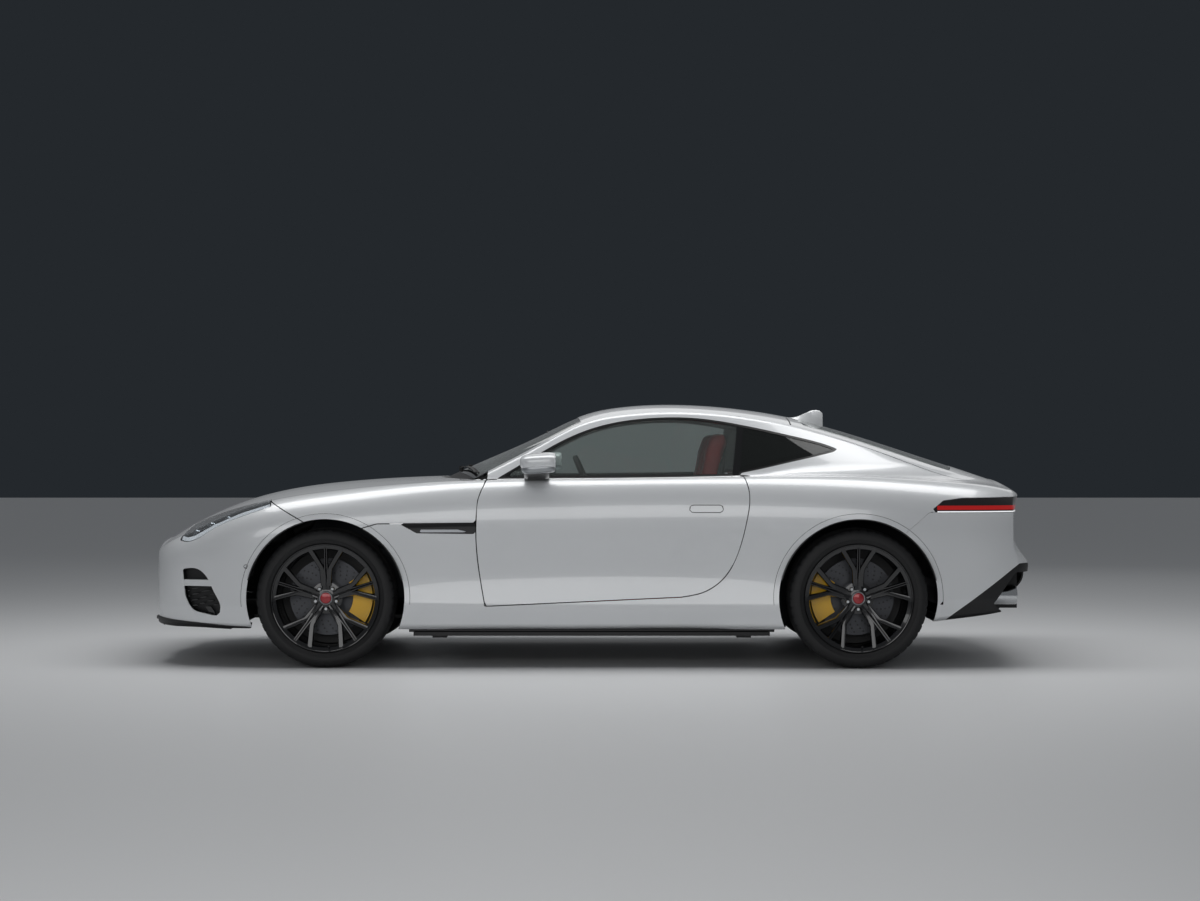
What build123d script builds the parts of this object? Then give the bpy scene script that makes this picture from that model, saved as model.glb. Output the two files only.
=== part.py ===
"""Two-seat fastback sports coupe, modelled as its separate panels, glass, cabin, running gear and wheels.

Millimetres. +X points forward, +Y to the car's left and +Z up. The origin is on the ground
under the middle of the car. Left-hand pieces are built first and mirrored across the XZ plane.
"""

import math
import os
from collections import namedtuple

from build123d import *

os.makedirs("parts", exist_ok=True)

# Driving dimensions of the whole car
LENGTH = 4482
WHEELBASE = 2622
FRONT_OVERHANG = 932
FRONT_AXLE_X = LENGTH / 2 - FRONT_OVERHANG
REAR_AXLE_X = FRONT_AXLE_X - WHEELBASE
NOSE_X = LENGTH / 2
TAIL_X = -LENGTH / 2
FAR = 3000

# Wheels, brakes and steering
TYRE_RADIUS = 343
RIM_RADIUS = 266
HUB_BORE = 22
RUNNING_CLEARANCE = 0.3
HUB_Z = TYRE_RADIUS
ARCH_GAP = 48
ARCH_RADIUS = TYRE_RADIUS + ARCH_GAP
LINER_THICKNESS = 5
DISC_RADIUS = 190
DISC_THICKNESS = 34
CALIPER_GAP = 6
KINGPIN_INSET = 88
WheelPlace = namedtuple("WheelPlace", "x track width")
FRONT_WHEEL = WheelPlace(FRONT_AXLE_X, 1584, 255)
REAR_WHEEL = WheelPlace(REAR_AXLE_X, 1616, 295)

# Shell: wall thicknesses and shut lines
SKIN = 26
ROOF_THICKNESS = 32
GLASS_THICKNESS = 5
LIP_THICKNESS = 6
SHUT_GAP = 7
SEAM = 0.4
CABIN_HALF_WIDTH = 735
DOOR_INNER_Y = 742
SILL_Z = 190
BELT_Z = 926

# Places of the main shut lines, from the axles
DOOR_FRONT_X = FRONT_AXLE_X - 746
DOOR_REAR_X = REAR_AXLE_X + 536
HOOD_FRONT_X = FRONT_AXLE_X + 796
HOOD_SIDE_Z = 716
HATCH_FRONT_X = REAR_AXLE_X + 296
FIREWALL_X = FRONT_AXLE_X - 620
REAR_BULKHEAD_X = REAR_AXLE_X + 330

# Lower body: one row per cross-section, from nose to tail. Each half section runs from the crown at the
# centre line to the crest, the widest point, the waist, the lip of the sill and the foot, as tangent arcs.
BodySection = namedtuple(
    "BodySection",
    "x z_top y_crest z_crest y_wide z_wide y_waist z_waist y_lip z_lip y_foot z_foot",
)
MID_X = (FRONT_AXLE_X + REAR_AXLE_X) / 2
BODY_SECTIONS = [
    BodySection(NOSE_X - 4, 580, 430, 548, 480, 470, 478, 390, 468, 290, 448, 215),
    BodySection(NOSE_X - 75, 632, 565, 588, 655, 490, 650, 390, 638, 290, 615, 205),
    BodySection(FRONT_AXLE_X + 690, 730, 670, 672, 812, 545, 806, 400, 796, 290, 775, 200),
    BodySection(FRONT_AXLE_X + 440, 828, 730, 778, 893, 615, 888, 450, 882, 300, 864, 195),
    BodySection(FRONT_AXLE_X, 905, 745, 868, 932, 690, 928, 500, 928, 310, 915, 192),
    BodySection(FRONT_AXLE_X - 510, 935, 775, 912, 918, 705, 896, 500, 908, 308, 888, SILL_Z),
    BodySection(MID_X, 938, 800, BELT_Z + 2, 905, 715, 880, 500, 902, 305, 880, SILL_Z),
    BodySection(REAR_AXLE_X + 610, 948, 800, 938, 915, 725, 890, 500, 908, 303, 886, SILL_Z),
    BodySection(REAR_AXLE_X, 968, 790, 942, 961, 725, 950, 500, 950, 310, 938, 200),
    BodySection(REAR_AXLE_X - 490, 940, 728, 914, 928, 705, 914, 480, 902, 330, 874, 240),
    BodySection(REAR_AXLE_X - 790, 895, 650, 872, 842, 660, 834, 470, 824, 350, 790, 285),
    BodySection(TAIL_X, 850, 585, 826, 720, 610, 716, 480, 706, 400, 666, 320),
]

# Greenhouse: roof centre line, cant rail (the corner above the side glass) and foot, buried in the lower body.
RoofSection = namedtuple("RoofSection", "x z_top y_cant z_cant y_side z_side y_foot z_foot")
ROOF_SECTIONS = [
    RoofSection(FRONT_AXLE_X - 545, 934, 752, 836, 775, 800, 790, 770),
    RoofSection(FRONT_AXLE_X - 740, 1020, 722, 932, 752, 880, 790, 780),
    RoofSection(FRONT_AXLE_X - 1029, 1148, 662, 1080, 705, 1000, 800, 780),
    RoofSection(FRONT_AXLE_X - 1270, 1258, 602, 1205, 676, 1065, 805, 780),
    RoofSection(MID_X - 160, 1299, 588, 1248, 668, 1090, 806, 780),
    RoofSection(MID_X - 448, 1311, 580, 1262, 664, 1098, 806, 780),
    RoofSection(MID_X - 745, 1291, 570, 1240, 656, 1095, 808, 780),
    RoofSection(REAR_AXLE_X + 266, 1243, 552, 1184, 636, 1080, 806, 780),
    RoofSection(REAR_AXLE_X - 60, 1156, 526, 1092, 612, 1020, 772, 790),
    RoofSection(REAR_AXLE_X - 400, 1046, 506, 985, 584, 940, 690, 800),
    RoofSection(REAR_AXLE_X - 700, 946, 500, 900, 560, 868, 630, 790),
    RoofSection(TAIL_X + 40, 880, 496, 846, 540, 826, 590, 770),
]


def mirrored(shape):
    """The right-hand twin of a left-hand shape."""
    return mirror(shape, about=Plane.XZ)


def body_section(row, inset=0, floor_drop=0):
    """One closed cross-section of the lower body, drawn inset by a wall thickness."""
    crest = (row.y_crest - inset, row.z_crest - inset)
    wide = (row.y_wide - inset, row.z_wide)
    waist = (row.y_waist - inset, row.z_waist)
    lip = (row.y_lip - inset, row.z_lip)
    foot = (row.y_foot - inset, row.z_foot - floor_drop)
    with BuildSketch(Plane.YZ.offset(row.x)) as section:
        with BuildLine():
            ThreePointArc((-crest[0], crest[1]), (0, row.z_top - inset), crest)
            for side in (1, -1):
                at_wide = (side * wide[0], wide[1])
                at_waist = (side * waist[0], waist[1])
                TangentArc(at_wide, (side * crest[0], crest[1]), tangent=(0, 1))
                flank = TangentArc(at_wide, at_waist, tangent=(0, -1))
                TangentArc(at_waist, (side * lip[0], lip[1]), tangent=flank % 1)
                Line((side * lip[0], lip[1]), (side * foot[0], foot[1]))
            Line(foot, (-foot[0], foot[1]))
        make_face()
    return section.sketch.face()


def roof_section(row, inset=0):
    """One closed cross-section of the greenhouse, drawn inset by a wall or glass thickness."""
    cant = (row.y_cant - inset, row.z_cant - inset)
    side_point = (row.y_side - inset, row.z_side)
    foot = (row.y_foot - inset, row.z_foot)
    with BuildSketch(Plane.YZ.offset(row.x)) as section:
        with BuildLine():
            ThreePointArc((-cant[0], cant[1]), (0, row.z_top - inset), cant)
            for side in (1, -1):
                ThreePointArc(
                    (side * cant[0], cant[1]),
                    (side * side_point[0], side_point[1]),
                    (side * foot[0], foot[1]),
                )
            Line(foot, (-foot[0], foot[1]))
        make_face()
    return section.sketch.face()


def lofted(faces):
    with BuildPart() as solid:
        loft(sections=faces)
    return solid.part


lower_outer = lofted([body_section(row) for row in BODY_SECTIONS])
lower_hollow = lofted([body_section(row, SKIN, floor_drop=60) for row in BODY_SECTIONS])
roof_outer = lofted([roof_section(row) for row in ROOF_SECTIONS])
roof_hollow = lofted([roof_section(row, ROOF_THICKNESS) for row in ROOF_SECTIONS])
roof_glass_inner = lofted([roof_section(row, GLASS_THICKNESS) for row in ROOF_SECTIONS])
thin_hollow = lofted([body_section(row, LIP_THICKNESS, floor_drop=60) for row in BODY_SECTIONS])
roof_thin_inner = lofted([roof_section(row, LIP_THICKNESS) for row in ROOF_SECTIONS])


def side_tool(draw, grow=0.0, y_from=-1100, y_to=1100):
    """Prism of a side-view outline, grown by a shut gap, between two Y planes."""
    with BuildPart() as tool:
        with BuildSketch(Plane.XZ.offset(-y_to)):
            with BuildLine():
                draw()
            make_face()
            if grow:
                offset(amount=grow, mode=Mode.REPLACE)
        extrude(amount=y_to - y_from)
    return tool.part


def plan_tool(draw, grow=0.0, z_from=100, z_to=1400):
    """Prism of an outline seen from above, between two heights."""
    with BuildPart() as tool:
        with BuildSketch(Plane.XY.offset(z_from)):
            with BuildLine():
                draw()
            make_face()
            if grow:
                offset(amount=grow, mode=Mode.REPLACE)
        extrude(amount=z_to - z_from)
    return tool.part


def block(x_from, x_to, y_from, y_to, z_from, z_to):
    """A plain box between pairs of planes."""
    with BuildPart() as box:
        with Locations(((x_from + x_to) / 2, (y_from + y_to) / 2, (z_from + z_to) / 2)):
            Box(abs(x_to - x_from), abs(y_to - y_from), abs(z_to - z_from))
    return box.part


def rod(start, end, radius):
    """A round bar between two points."""
    axis = Vector(*end) - Vector(*start)
    with BuildPart() as bar:
        with BuildSketch(Plane(origin=start, z_dir=axis)):
            Circle(radius)
        extrude(amount=axis.length)
    return bar.part


def both_sides(shape):
    """A left-hand shape together with its mirrored twin, which it doesn't touch."""
    return Compound([*shape.solids(), *mirrored(shape).solids()])


def cut(shape, *tools):
    """A shape less every solid of the given tools."""
    return shape.cut(*[solid for tool in tools for solid in tool.solids()])


def largest(shape):
    """The one main solid of a cut shape, without the slivers beside it."""
    return max(shape.solids(), key=lambda solid: solid.volume)


def save(part, label):
    part.label = label
    export_step(part, f"parts/{label}.step")


# Hinge axes. Each panel's leading edge turns in under a thin lip of its neighbour.
DOOR_HINGE_SETBACK = 58
DOOR_HINGE_X = DOOR_FRONT_X - DOOR_HINGE_SETBACK
DOOR_HINGE_Y = 872
DOOR_HINGE_HEIGHTS = (430, 640)
HOOD_HINGE_SETBACK = 70
HOOD_HINGE_X = HOOD_FRONT_X - HOOD_HINGE_SETBACK
HOOD_HINGE_Z = 652
HATCH_FOOT_Z = 846
HATCH_HINGE_SETBACK = 50
HATCH_HINGE_X = HATCH_FRONT_X - HATCH_HINGE_SETBACK
HATCH_HINGE_Z = 1205
HINGE_PIN = 8


def door_outline():
    front = ThreePointArc((DOOR_FRONT_X - 42, 306), (DOOR_FRONT_X, 690), (DOOR_FRONT_X - 50, 932))
    Line(front @ 1, (DOOR_REAR_X + 36, 958))
    Line((DOOR_REAR_X + 36, 958), (DOOR_REAR_X + 36, 945))
    upper = ThreePointArc((DOOR_REAR_X + 36, 945), (DOOR_REAR_X, 822), (DOOR_REAR_X + 37, 640))
    lower = TangentArc(upper @ 1, (DOOR_REAR_X + 335, 350), tangent=upper % 1)
    Line(lower @ 1, front @ 0)


def hood_outline():
    """Side view of the front-hinged clamshell: it takes the tops of the front arches with it."""
    Line((HOOD_FRONT_X, 990), (HOOD_FRONT_X, HOOD_SIDE_Z - 46))
    ThreePointArc(
        (HOOD_FRONT_X, HOOD_SIDE_Z - 46),
        (FRONT_AXLE_X + 541, HOOD_SIDE_Z + 46),
        (FRONT_AXLE_X + 291, HOOD_SIDE_Z + 110),
    )
    Polyline(
        (FRONT_AXLE_X + 291, HOOD_SIDE_Z + 110),
        (FRONT_AXLE_X + 95, HOOD_SIDE_Z),
        (FRONT_AXLE_X + 95, 600),
        (FRONT_AXLE_X - 95, 600),
        (FRONT_AXLE_X - 180, 690),
        (FRONT_AXLE_X - 254, HOOD_SIDE_Z - 4),
        (DOOR_FRONT_X + SHUT_GAP, HOOD_SIDE_Z),
        (DOOR_FRONT_X + SHUT_GAP, 870),
        (DOOR_FRONT_X - 40, 990),
        (HOOD_FRONT_X, 990),
    )


def cowl_outline():
    """Plan of the well at the foot of the windscreen, behind the hood's curved rear edge."""
    ThreePointArc((DOOR_FRONT_X - 20, -738), (FRONT_AXLE_X - 527, 0), (DOOR_FRONT_X - 20, 738))
    Line((DOOR_FRONT_X - 20, 738), (DOOR_FRONT_X - 20, -738))


def windscreen_outline():
    """Plan of the windscreen between the pillars."""
    top = ThreePointArc((FRONT_AXLE_X - 1255, -528), (FRONT_AXLE_X - 1232, 0), (FRONT_AXLE_X - 1255, 528))
    Line(top @ 1, (FRONT_AXLE_X - 720, 688))
    ThreePointArc((FRONT_AXLE_X - 720, 688), (FRONT_AXLE_X - 606, 0), (FRONT_AXLE_X - 720, -688))
    Line((FRONT_AXLE_X - 720, -688), top @ 0)


def side_glass_outline():
    """Side view of the opening above the belt, from the mirror to the tip of the rear quarter light."""
    pillar = ThreePointArc((DOOR_FRONT_X - 66, 920), (MID_X + 260, 1056), (MID_X + 42, 1166))
    crown = TangentArc(pillar @ 1, (MID_X - 430, 1238), tangent=pillar % 1)
    tail = TangentArc(crown @ 1, (REAR_AXLE_X + 70, 1078), tangent=crown % 1)
    Polyline(
        tail @ 1, (REAR_AXLE_X + 91, 1062), (REAR_AXLE_X + 344, 1004), (DOOR_REAR_X + 36, 955),
        (DOOR_REAR_X + 36, 915), (DOOR_FRONT_X - 66, 905), pillar @ 0,
    )


def hatch_outline():
    """Plan of the tailgate, from the roof's rear edge to the tail."""
    half = [
        (HATCH_FRONT_X, 512), (REAR_AXLE_X - 200, 520), (REAR_AXLE_X - 560, 545),
        (REAR_AXLE_X - 800, 540), (TAIL_X - 60, 470),
    ]
    Polyline(*half, *[(x, -y) for x, y in reversed(half)], half[0])


def hatch_glass_outline():
    front = ThreePointArc((HATCH_FRONT_X - 70, -440), (HATCH_FRONT_X - 52, 0), (HATCH_FRONT_X - 70, 440))
    Line(front @ 1, (REAR_AXLE_X - 520, 420))
    ThreePointArc((REAR_AXLE_X - 520, 420), (REAR_AXLE_X - 572, 0), (REAR_AXLE_X - 520, -420))
    Line((REAR_AXLE_X - 520, -420), front @ 0)


def tail_lamp_outline():
    """Side view of the slim wrap-round rear lamp."""
    Line((REAR_AXLE_X - 347, 768), (REAR_AXLE_X - 419, 824))
    Line((REAR_AXLE_X - 419, 824), (TAIL_X - 40, 842))
    Line((TAIL_X - 40, 842), (TAIL_X - 40, 762))
    Line((TAIL_X - 40, 762), (REAR_AXLE_X - 347, 768))


def rear_bumper_outline():
    Polyline(
        (REAR_AXLE_X - 200, 640), (REAR_AXLE_X - 347, 766), (TAIL_X - 40, 760),
        (TAIL_X - 40, 100), (REAR_AXLE_X - 200, 100), (REAR_AXLE_X - 200, 640),
    )


def headlamp_outline():
    """Side view of the swept-back headlamp. Its top runs up under the hood, whose shut line trims it."""
    ThreePointArc(
        (HOOD_FRONT_X - 40, HOOD_SIDE_Z - 10),
        (FRONT_AXLE_X + 541, HOOD_SIDE_Z + 76),
        (FRONT_AXLE_X + 300, HOOD_SIDE_Z + 140),
    )
    Polyline(
        (FRONT_AXLE_X + 300, HOOD_SIDE_Z + 140), (FRONT_AXLE_X + 273, 793), (FRONT_AXLE_X + 429, 741),
        (FRONT_AXLE_X + 567, 681), (FRONT_AXLE_X + 662, 625), (FRONT_AXLE_X + 744, 627),
        (HOOD_FRONT_X - 40, HOOD_SIDE_Z - 10),
    )


def tail_profile():
    """Side view of what is cut away behind the car to leave the lip, the tuck under it and the bumper's crest."""
    Polyline(
        (TAIL_X - 60, 960), (TAIL_X + 50, 884), (TAIL_X + 56, 842), (TAIL_X + 76, 659),
        (TAIL_X + 59, 580), (TAIL_X + 2, 516), (TAIL_X, 481), (TAIL_X + 15, 399),
        (TAIL_X + 90, 312), (TAIL_X + 90, 100), (TAIL_X - 60, 100), (TAIL_X - 60, 960),
    )


# Wheel wells: an arch lip at the panel and more room behind it for the steered tyre
WELL_RADIUS = ARCH_RADIUS + 40


def well(place, inner_y, lip_y):
    with BuildPart() as hole:
        with BuildSketch(Plane.XZ.offset(-inner_y)):
            with Locations((place.x, TYRE_RADIUS)):
                Circle(WELL_RADIUS)
        extrude(amount=-(lip_y - inner_y))
        with BuildSketch(Plane.XZ.offset(-lip_y)):
            with Locations((place.x, TYRE_RADIUS)):
                Circle(ARCH_RADIUS)
        extrude(amount=-400)
    return hole.part


FRONT_WELL_INNER = 455
REAR_WELL_INNER = 574
FRONT_LIP_Y = 880
REAR_LIP_Y = 903
front_well = well(FRONT_WHEEL, FRONT_WELL_INNER, FRONT_LIP_Y)
rear_well = well(REAR_WHEEL, REAR_WELL_INNER, REAR_LIP_Y)
wells = both_sides(front_well + rear_well)

lower_inner = lower_hollow - side_tool(tail_profile, SKIN) - block(NOSE_X - 4 - SKIN, FAR, -FAR, FAR, 0, FAR)
thin_inner = thin_hollow - side_tool(tail_profile, LIP_THICKNESS)
roof_inner = roof_hollow - side_tool(tail_profile, SKIN)
whole = lower_outer + roof_outer - side_tool(tail_profile)
skin = whole - lower_inner - roof_inner

hood_tool = side_tool(hood_outline)
hood_gap = side_tool(hood_outline, SHUT_GAP)
DOOR_PLUG_SLOPE = 0.14
DOOR_SKIN_Y = 915
with BuildPart() as door_plug:
    with BuildSketch(Plane.XZ.offset(-DOOR_SKIN_Y)):
        with BuildLine():
            door_outline()
        make_face()
    extrude(amount=300, dir=(DOOR_PLUG_SLOPE, -1, 0))
    with BuildSketch(Plane.XZ.offset(-DOOR_SKIN_Y)):
        with BuildLine():
            door_outline()
        make_face()
    extrude(amount=-100)
door_tool = door_plug.part & side_tool(door_outline, y_from=0)
door_gap = side_tool(door_outline, SHUT_GAP, y_from=0)
cowl_tool = plan_tool(cowl_outline, z_from=700)
cowl_gap = plan_tool(cowl_outline, SHUT_GAP, z_from=700)
windscreen_tool = plan_tool(windscreen_outline, z_from=860)
windscreen_gap = plan_tool(windscreen_outline, SEAM, z_from=860)
side_glass_tool = side_tool(side_glass_outline, y_from=400)
hatch_tool = plan_tool(hatch_outline, z_from=HATCH_FOOT_Z)
hatch_gap = plan_tool(hatch_outline, SHUT_GAP, z_from=HATCH_FOOT_Z - SHUT_GAP)
lamp_tool = side_tool(tail_lamp_outline, y_from=380)
headlamp_tool = side_tool(headlamp_outline, y_from=380)
rear_bumper_tool = side_tool(rear_bumper_outline)


def nose_opening():
    """Front view of the wide mouth."""
    top = ThreePointArc((-395, 512), (0, 528), (395, 512))
    side = ThreePointArc(top @ 1, (432, 440), (388, 352))
    low = ThreePointArc(side @ 1, (0, 336), (-388, 352))
    ThreePointArc(low @ 1, (-432, 440), top @ 0)


def intake_outline():
    """Side view of the corner intake in the front bumper."""
    Polyline(
        (FRONT_AXLE_X + 727, 479), (FRONT_AXLE_X + 627, 475), (FRONT_AXLE_X + 575, 397), (FRONT_AXLE_X + 549, 292),
        (FRONT_AXLE_X + 549, 249), (FRONT_AXLE_X + 662, 275), (FRONT_AXLE_X + 718, 388),
        (FRONT_AXLE_X + 727, 479),
    )


def mouth_tool(x_from, x_to, grow=0.0):
    with BuildPart() as tool:
        with BuildSketch(Plane.YZ.offset(x_from)):
            with BuildLine():
                nose_opening()
            make_face()
            if grow:
                offset(amount=grow, mode=Mode.REPLACE)
        extrude(amount=x_to - x_from)
    return tool.part


def swing(x, z, radius):
    """Room for a leading edge that turns about an axis along Y."""
    return rod((x, -1000, z), (x, 1000, z), radius)


door_swing = rod(
    (DOOR_HINGE_X, DOOR_HINGE_Y, 150), (DOOR_HINGE_X, DOOR_HINGE_Y, 960), DOOR_HINGE_SETBACK + 16
)
hood_swing = swing(HOOD_HINGE_X, HOOD_HINGE_Z, HOOD_HINGE_SETBACK + 18)
hatch_swing = swing(HATCH_HINGE_X, HATCH_HINGE_Z, HATCH_HINGE_SETBACK + 38)
door_lip_room = both_sides(door_swing & thin_inner)

# Front end: bumper, grille, intakes, splitter and lamps
FRONT_JOIN_X = FRONT_AXLE_X
headlamp_gap = both_sides(side_tool(headlamp_outline, SEAM, y_from=380))
intake_cut = both_sides(side_tool(intake_outline, y_from=500))
with BuildPart() as front_bumper:
    front_skin = skin & block(FRONT_JOIN_X, FAR, -FAR, FAR, 0, FAR)
    mouth = mouth_tool(NOSE_X - 200, NOSE_X + 50)
    add(largest(cut(front_skin, hood_gap, wells, headlamp_gap, intake_cut, hood_swing & thin_inner, mouth)))
GRILLE_X = NOSE_X - 26
with BuildPart() as grille:
    add(mouth_tool(GRILLE_X, GRILLE_X + 14, -SEAM))
    with BuildSketch(Plane.YZ.offset(GRILLE_X)):
        with GridLocations(52, 44, 15, 4):
            with Locations((0, 432)):
                RectangleRounded(40, 32, 10)
    extrude(amount=14, mode=Mode.SUBTRACT)
save(grille.part, "grille")

with BuildPart() as intake_vane:
    add(largest((thin_inner & side_tool(intake_outline, -SEAM, y_from=500)) - lower_inner))
save(both_sides(intake_vane.part), "intake_vanes")

with BuildPart() as headlamp:
    add(largest(cut(skin & headlamp_tool, hood_gap)))
save(both_sides(headlamp.part), "headlamps")

UNDERTRAY_Z = 216
UNDERTRAY_THICKNESS = 16
with BuildPart() as undertray:
    add(lower_inner & block(FIREWALL_X, FAR, -FAR, FAR, UNDERTRAY_Z, UNDERTRAY_Z + UNDERTRAY_THICKNESS))
    sill_end_x = FRONT_AXLE_X - ARCH_RADIUS + 41
    beside = both_sides(block(0, sill_end_x, CABIN_HALF_WIDTH - 1, FAR, 0, FAR))
    for solid in (*wells.solids(), *beside.solids()):
        add(solid, mode=Mode.SUBTRACT)
save(undertray.part, "undertray")


def splitter_outline():
    lead = ThreePointArc((FRONT_AXLE_X + 480, -800), (NOSE_X, 0), (FRONT_AXLE_X + 480, 800))
    Polyline(lead @ 1, (FRONT_AXLE_X + 480, 700), (FRONT_AXLE_X + 700, 400),
             (FRONT_AXLE_X + 700, -400), (FRONT_AXLE_X + 480, -700), lead @ 0)


with BuildPart() as splitter:
    add(plan_tool(splitter_outline, z_from=184, z_to=UNDERTRAY_Z))
    add(lower_outer, mode=Mode.SUBTRACT)
    add(undertray.part, mode=Mode.SUBTRACT)
save(splitter.part, "front_splitter")

# Hood, cowl and fenders
HOOD_LUG_Y = 260
LUG_THICKNESS = 12
LUG_RADIUS = 17


def lug(x, z, y_from, reach_x, reach_z):
    """A hinge lug plate: an eye about an axis along Y with an arm to the panel."""
    with BuildPart() as plate:
        with BuildSketch(Plane.XZ.offset(-y_from)):
            with Locations((x, z)):
                Circle(LUG_RADIUS)
            with BuildLine():
                Polyline((x - 14, z), (x + 14, z), (x + reach_x + 14, z + reach_z), (x + reach_x - 14, z + reach_z),
                         (x - 14, z))
            make_face()
            with Locations((x, z)):
                Circle(HINGE_PIN + RUNNING_CLEARANCE, mode=Mode.SUBTRACT)
        extrude(amount=-LUG_THICKNESS)
    return plate.part


with BuildPart() as hood:
    add(largest(cut(skin & hood_tool, cowl_gap, wells, roof_outer, door_lip_room)))
    hood_lug = largest(lug(HOOD_HINGE_X, HOOD_HINGE_Z, HOOD_LUG_Y, -24, 60) & lower_outer)
    add(hood_lug)
    add(mirrored(hood_lug))
save(hood.part, "hood")

# The bumper's lip gives way where the corners of the hood's nose turn past it
HOOD_OPEN = 55
hood_axis = Axis((HOOD_HINGE_X, 0, HOOD_HINGE_Z), (0, 1, 0))
hood_nose = hood.part & block(HOOD_HINGE_X - 60, FAR, -FAR, FAR, 0, FAR)
turned_noses = [
    Pos(4, 0, lift) * hood_nose.rotate(hood_axis, HOOD_OPEN * share)
    for share, lift in ((0.3, -3), (0.55, -3), (0.8, -3), (1, -3), (0.55, 3), (0.8, 3), (1, 3))
]
LUG_ROOM_RADIUS = 54
LUG_ROOM_Y = HOOD_LUG_Y + 70
lug_room = rod(
    (HOOD_HINGE_X, -LUG_ROOM_Y, HOOD_HINGE_Z), (HOOD_HINGE_X, LUG_ROOM_Y, HOOD_HINGE_Z), LUG_ROOM_RADIUS
)
save(largest(cut(front_bumper.part, *turned_noses, lug_room)), "front_bumper")

with BuildPart() as cowl:
    add(largest(skin & cowl_tool & block(0, FAR, -684, 684, 0, FAR) - windscreen_gap))
save(cowl.part, "cowl")

FENDER_FOOT_Z = 303
with BuildPart() as fender:
    fender_skin = skin & block(DOOR_FRONT_X - 80, FRONT_AXLE_X - 100, 300, FAR, FENDER_FOOT_Z + SEAM, HOOD_SIDE_Z)
    add(largest(cut(fender_skin, hood_gap, door_gap, wells, door_lip_room)))
save(both_sides(fender.part), "front_fenders")

# Body sides: sill, hinge pillar, windscreen pillar, roof rail and rear quarter, round the door opening
BOOT_HALF_WIDTH = 575
WELL_TOP_Z = TYRE_RADIUS + WELL_RADIUS + 12
ROOF_PANEL_Y = 520
with BuildPart() as cavity:
    add(block(REAR_BULKHEAD_X, FIREWALL_X + 700, -CABIN_HALF_WIDTH, CABIN_HALF_WIDTH, 100, 930))
    add(block(TAIL_X, REAR_BULKHEAD_X + 1, -BOOT_HALF_WIDTH, BOOT_HALF_WIDTH, 100, 870))
    add(block(REAR_AXLE_X - 440, REAR_BULKHEAD_X + 1, -680, 680, WELL_TOP_Z, 870))
    add(roof_inner)
    add(lower_inner & block(TAIL_X, REAR_AXLE_X - 440, -FAR, FAR, 0, FAR))
roof_panel_tool = block(HATCH_FRONT_X + SHUT_GAP, FRONT_AXLE_X - 1235, -ROOF_PANEL_Y, ROOF_PANEL_Y, 1150, 1400)
with BuildPart() as body_side:
    left_half = whole & block(TAIL_X - 10, FRONT_AXLE_X - ARCH_RADIUS + 40, 0, FAR, 0, FAR)
    add(cut(
        left_half, cavity.part, front_well, rear_well, door_gap, hood_gap, windscreen_gap, side_glass_tool,
        hatch_gap, cowl.part, roof_panel_tool,
        block(DOOR_FRONT_X - 70, FAR, -FAR, FAR, FENDER_FOOT_Z, 860),
        side_tool(tail_lamp_outline, SEAM, y_from=380),
        side_tool(rear_bumper_outline, SEAM),
        block(TAIL_X, REAR_AXLE_X - 640, -380, 380, 740, 842),
    ))
    add(block(FIREWALL_X - 95, FIREWALL_X + 20, CABIN_HALF_WIDTH - 60, 850,
              UNDERTRAY_Z + UNDERTRAY_THICKNESS, 900) & lower_inner)
    add(door_swing, mode=Mode.SUBTRACT)
body_side_left = largest(body_side.part)
save(both_sides(body_side_left), "body_sides")

with BuildPart() as roof:
    add((roof_outer - roof_inner) & block(HATCH_FRONT_X + SHUT_GAP, FRONT_AXLE_X - 1235,
                                          -ROOF_PANEL_Y + SEAM, ROOF_PANEL_Y - SEAM, 1150, 1400))
    add(windscreen_gap, mode=Mode.SUBTRACT)
    add(hatch_swing & roof_thin_inner, mode=Mode.SUBTRACT)
save(roof.part, "roof")

# Glass
DIVISION_TOP = (DOOR_REAR_X + 18, 1260)
DIVISION_FOOT = (DOOR_REAR_X + 62, 900)


def door_glass_zone():
    """Side view of everything ahead of the bar between the door glass and the quarter light."""
    Polyline(DIVISION_TOP, DIVISION_FOOT, (FAR, 900), (FAR, 1260), DIVISION_TOP)


def quarter_glass_zone():
    Polyline(
        (DIVISION_TOP[0] - 34, 1260), (DIVISION_FOOT[0] - 34, 900), (-FAR, 900), (-FAR, 1260),
        (DIVISION_TOP[0] - 34, 1260),
    )


roof_glass_skin = roof_outer - roof_glass_inner
with BuildPart() as windscreen:
    add(largest(roof_glass_skin & windscreen_tool - lower_outer))
save(windscreen.part, "windscreen")

side_pane_tool = side_tool(side_glass_outline, -SHUT_GAP, y_from=400)
with BuildPart() as door_glass_left:
    add(largest((roof_glass_skin & side_pane_tool & side_tool(door_glass_zone)) - lower_outer))
save(door_glass_left.part, "door_glass_left")
with BuildPart() as door_glass_right:
    add(mirrored(door_glass_left.part))
save(door_glass_right.part, "door_glass_right")

quarter_pane_tool = side_tool(side_glass_outline, -SEAM, y_from=400)
with BuildPart() as quarter_pane:
    add(largest((roof_glass_skin & quarter_pane_tool & side_tool(quarter_glass_zone)) - lower_outer))
save(both_sides(quarter_pane.part), "quarter_glass")

# Doors: a plug as thick as the whole door, thin ahead of its hinges, with a notch for each hinge arm
HINGE_ARM_HEIGHT = 36
HINGE_ARM_LEAD = 2
DOOR_FLANGE = 22


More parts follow.
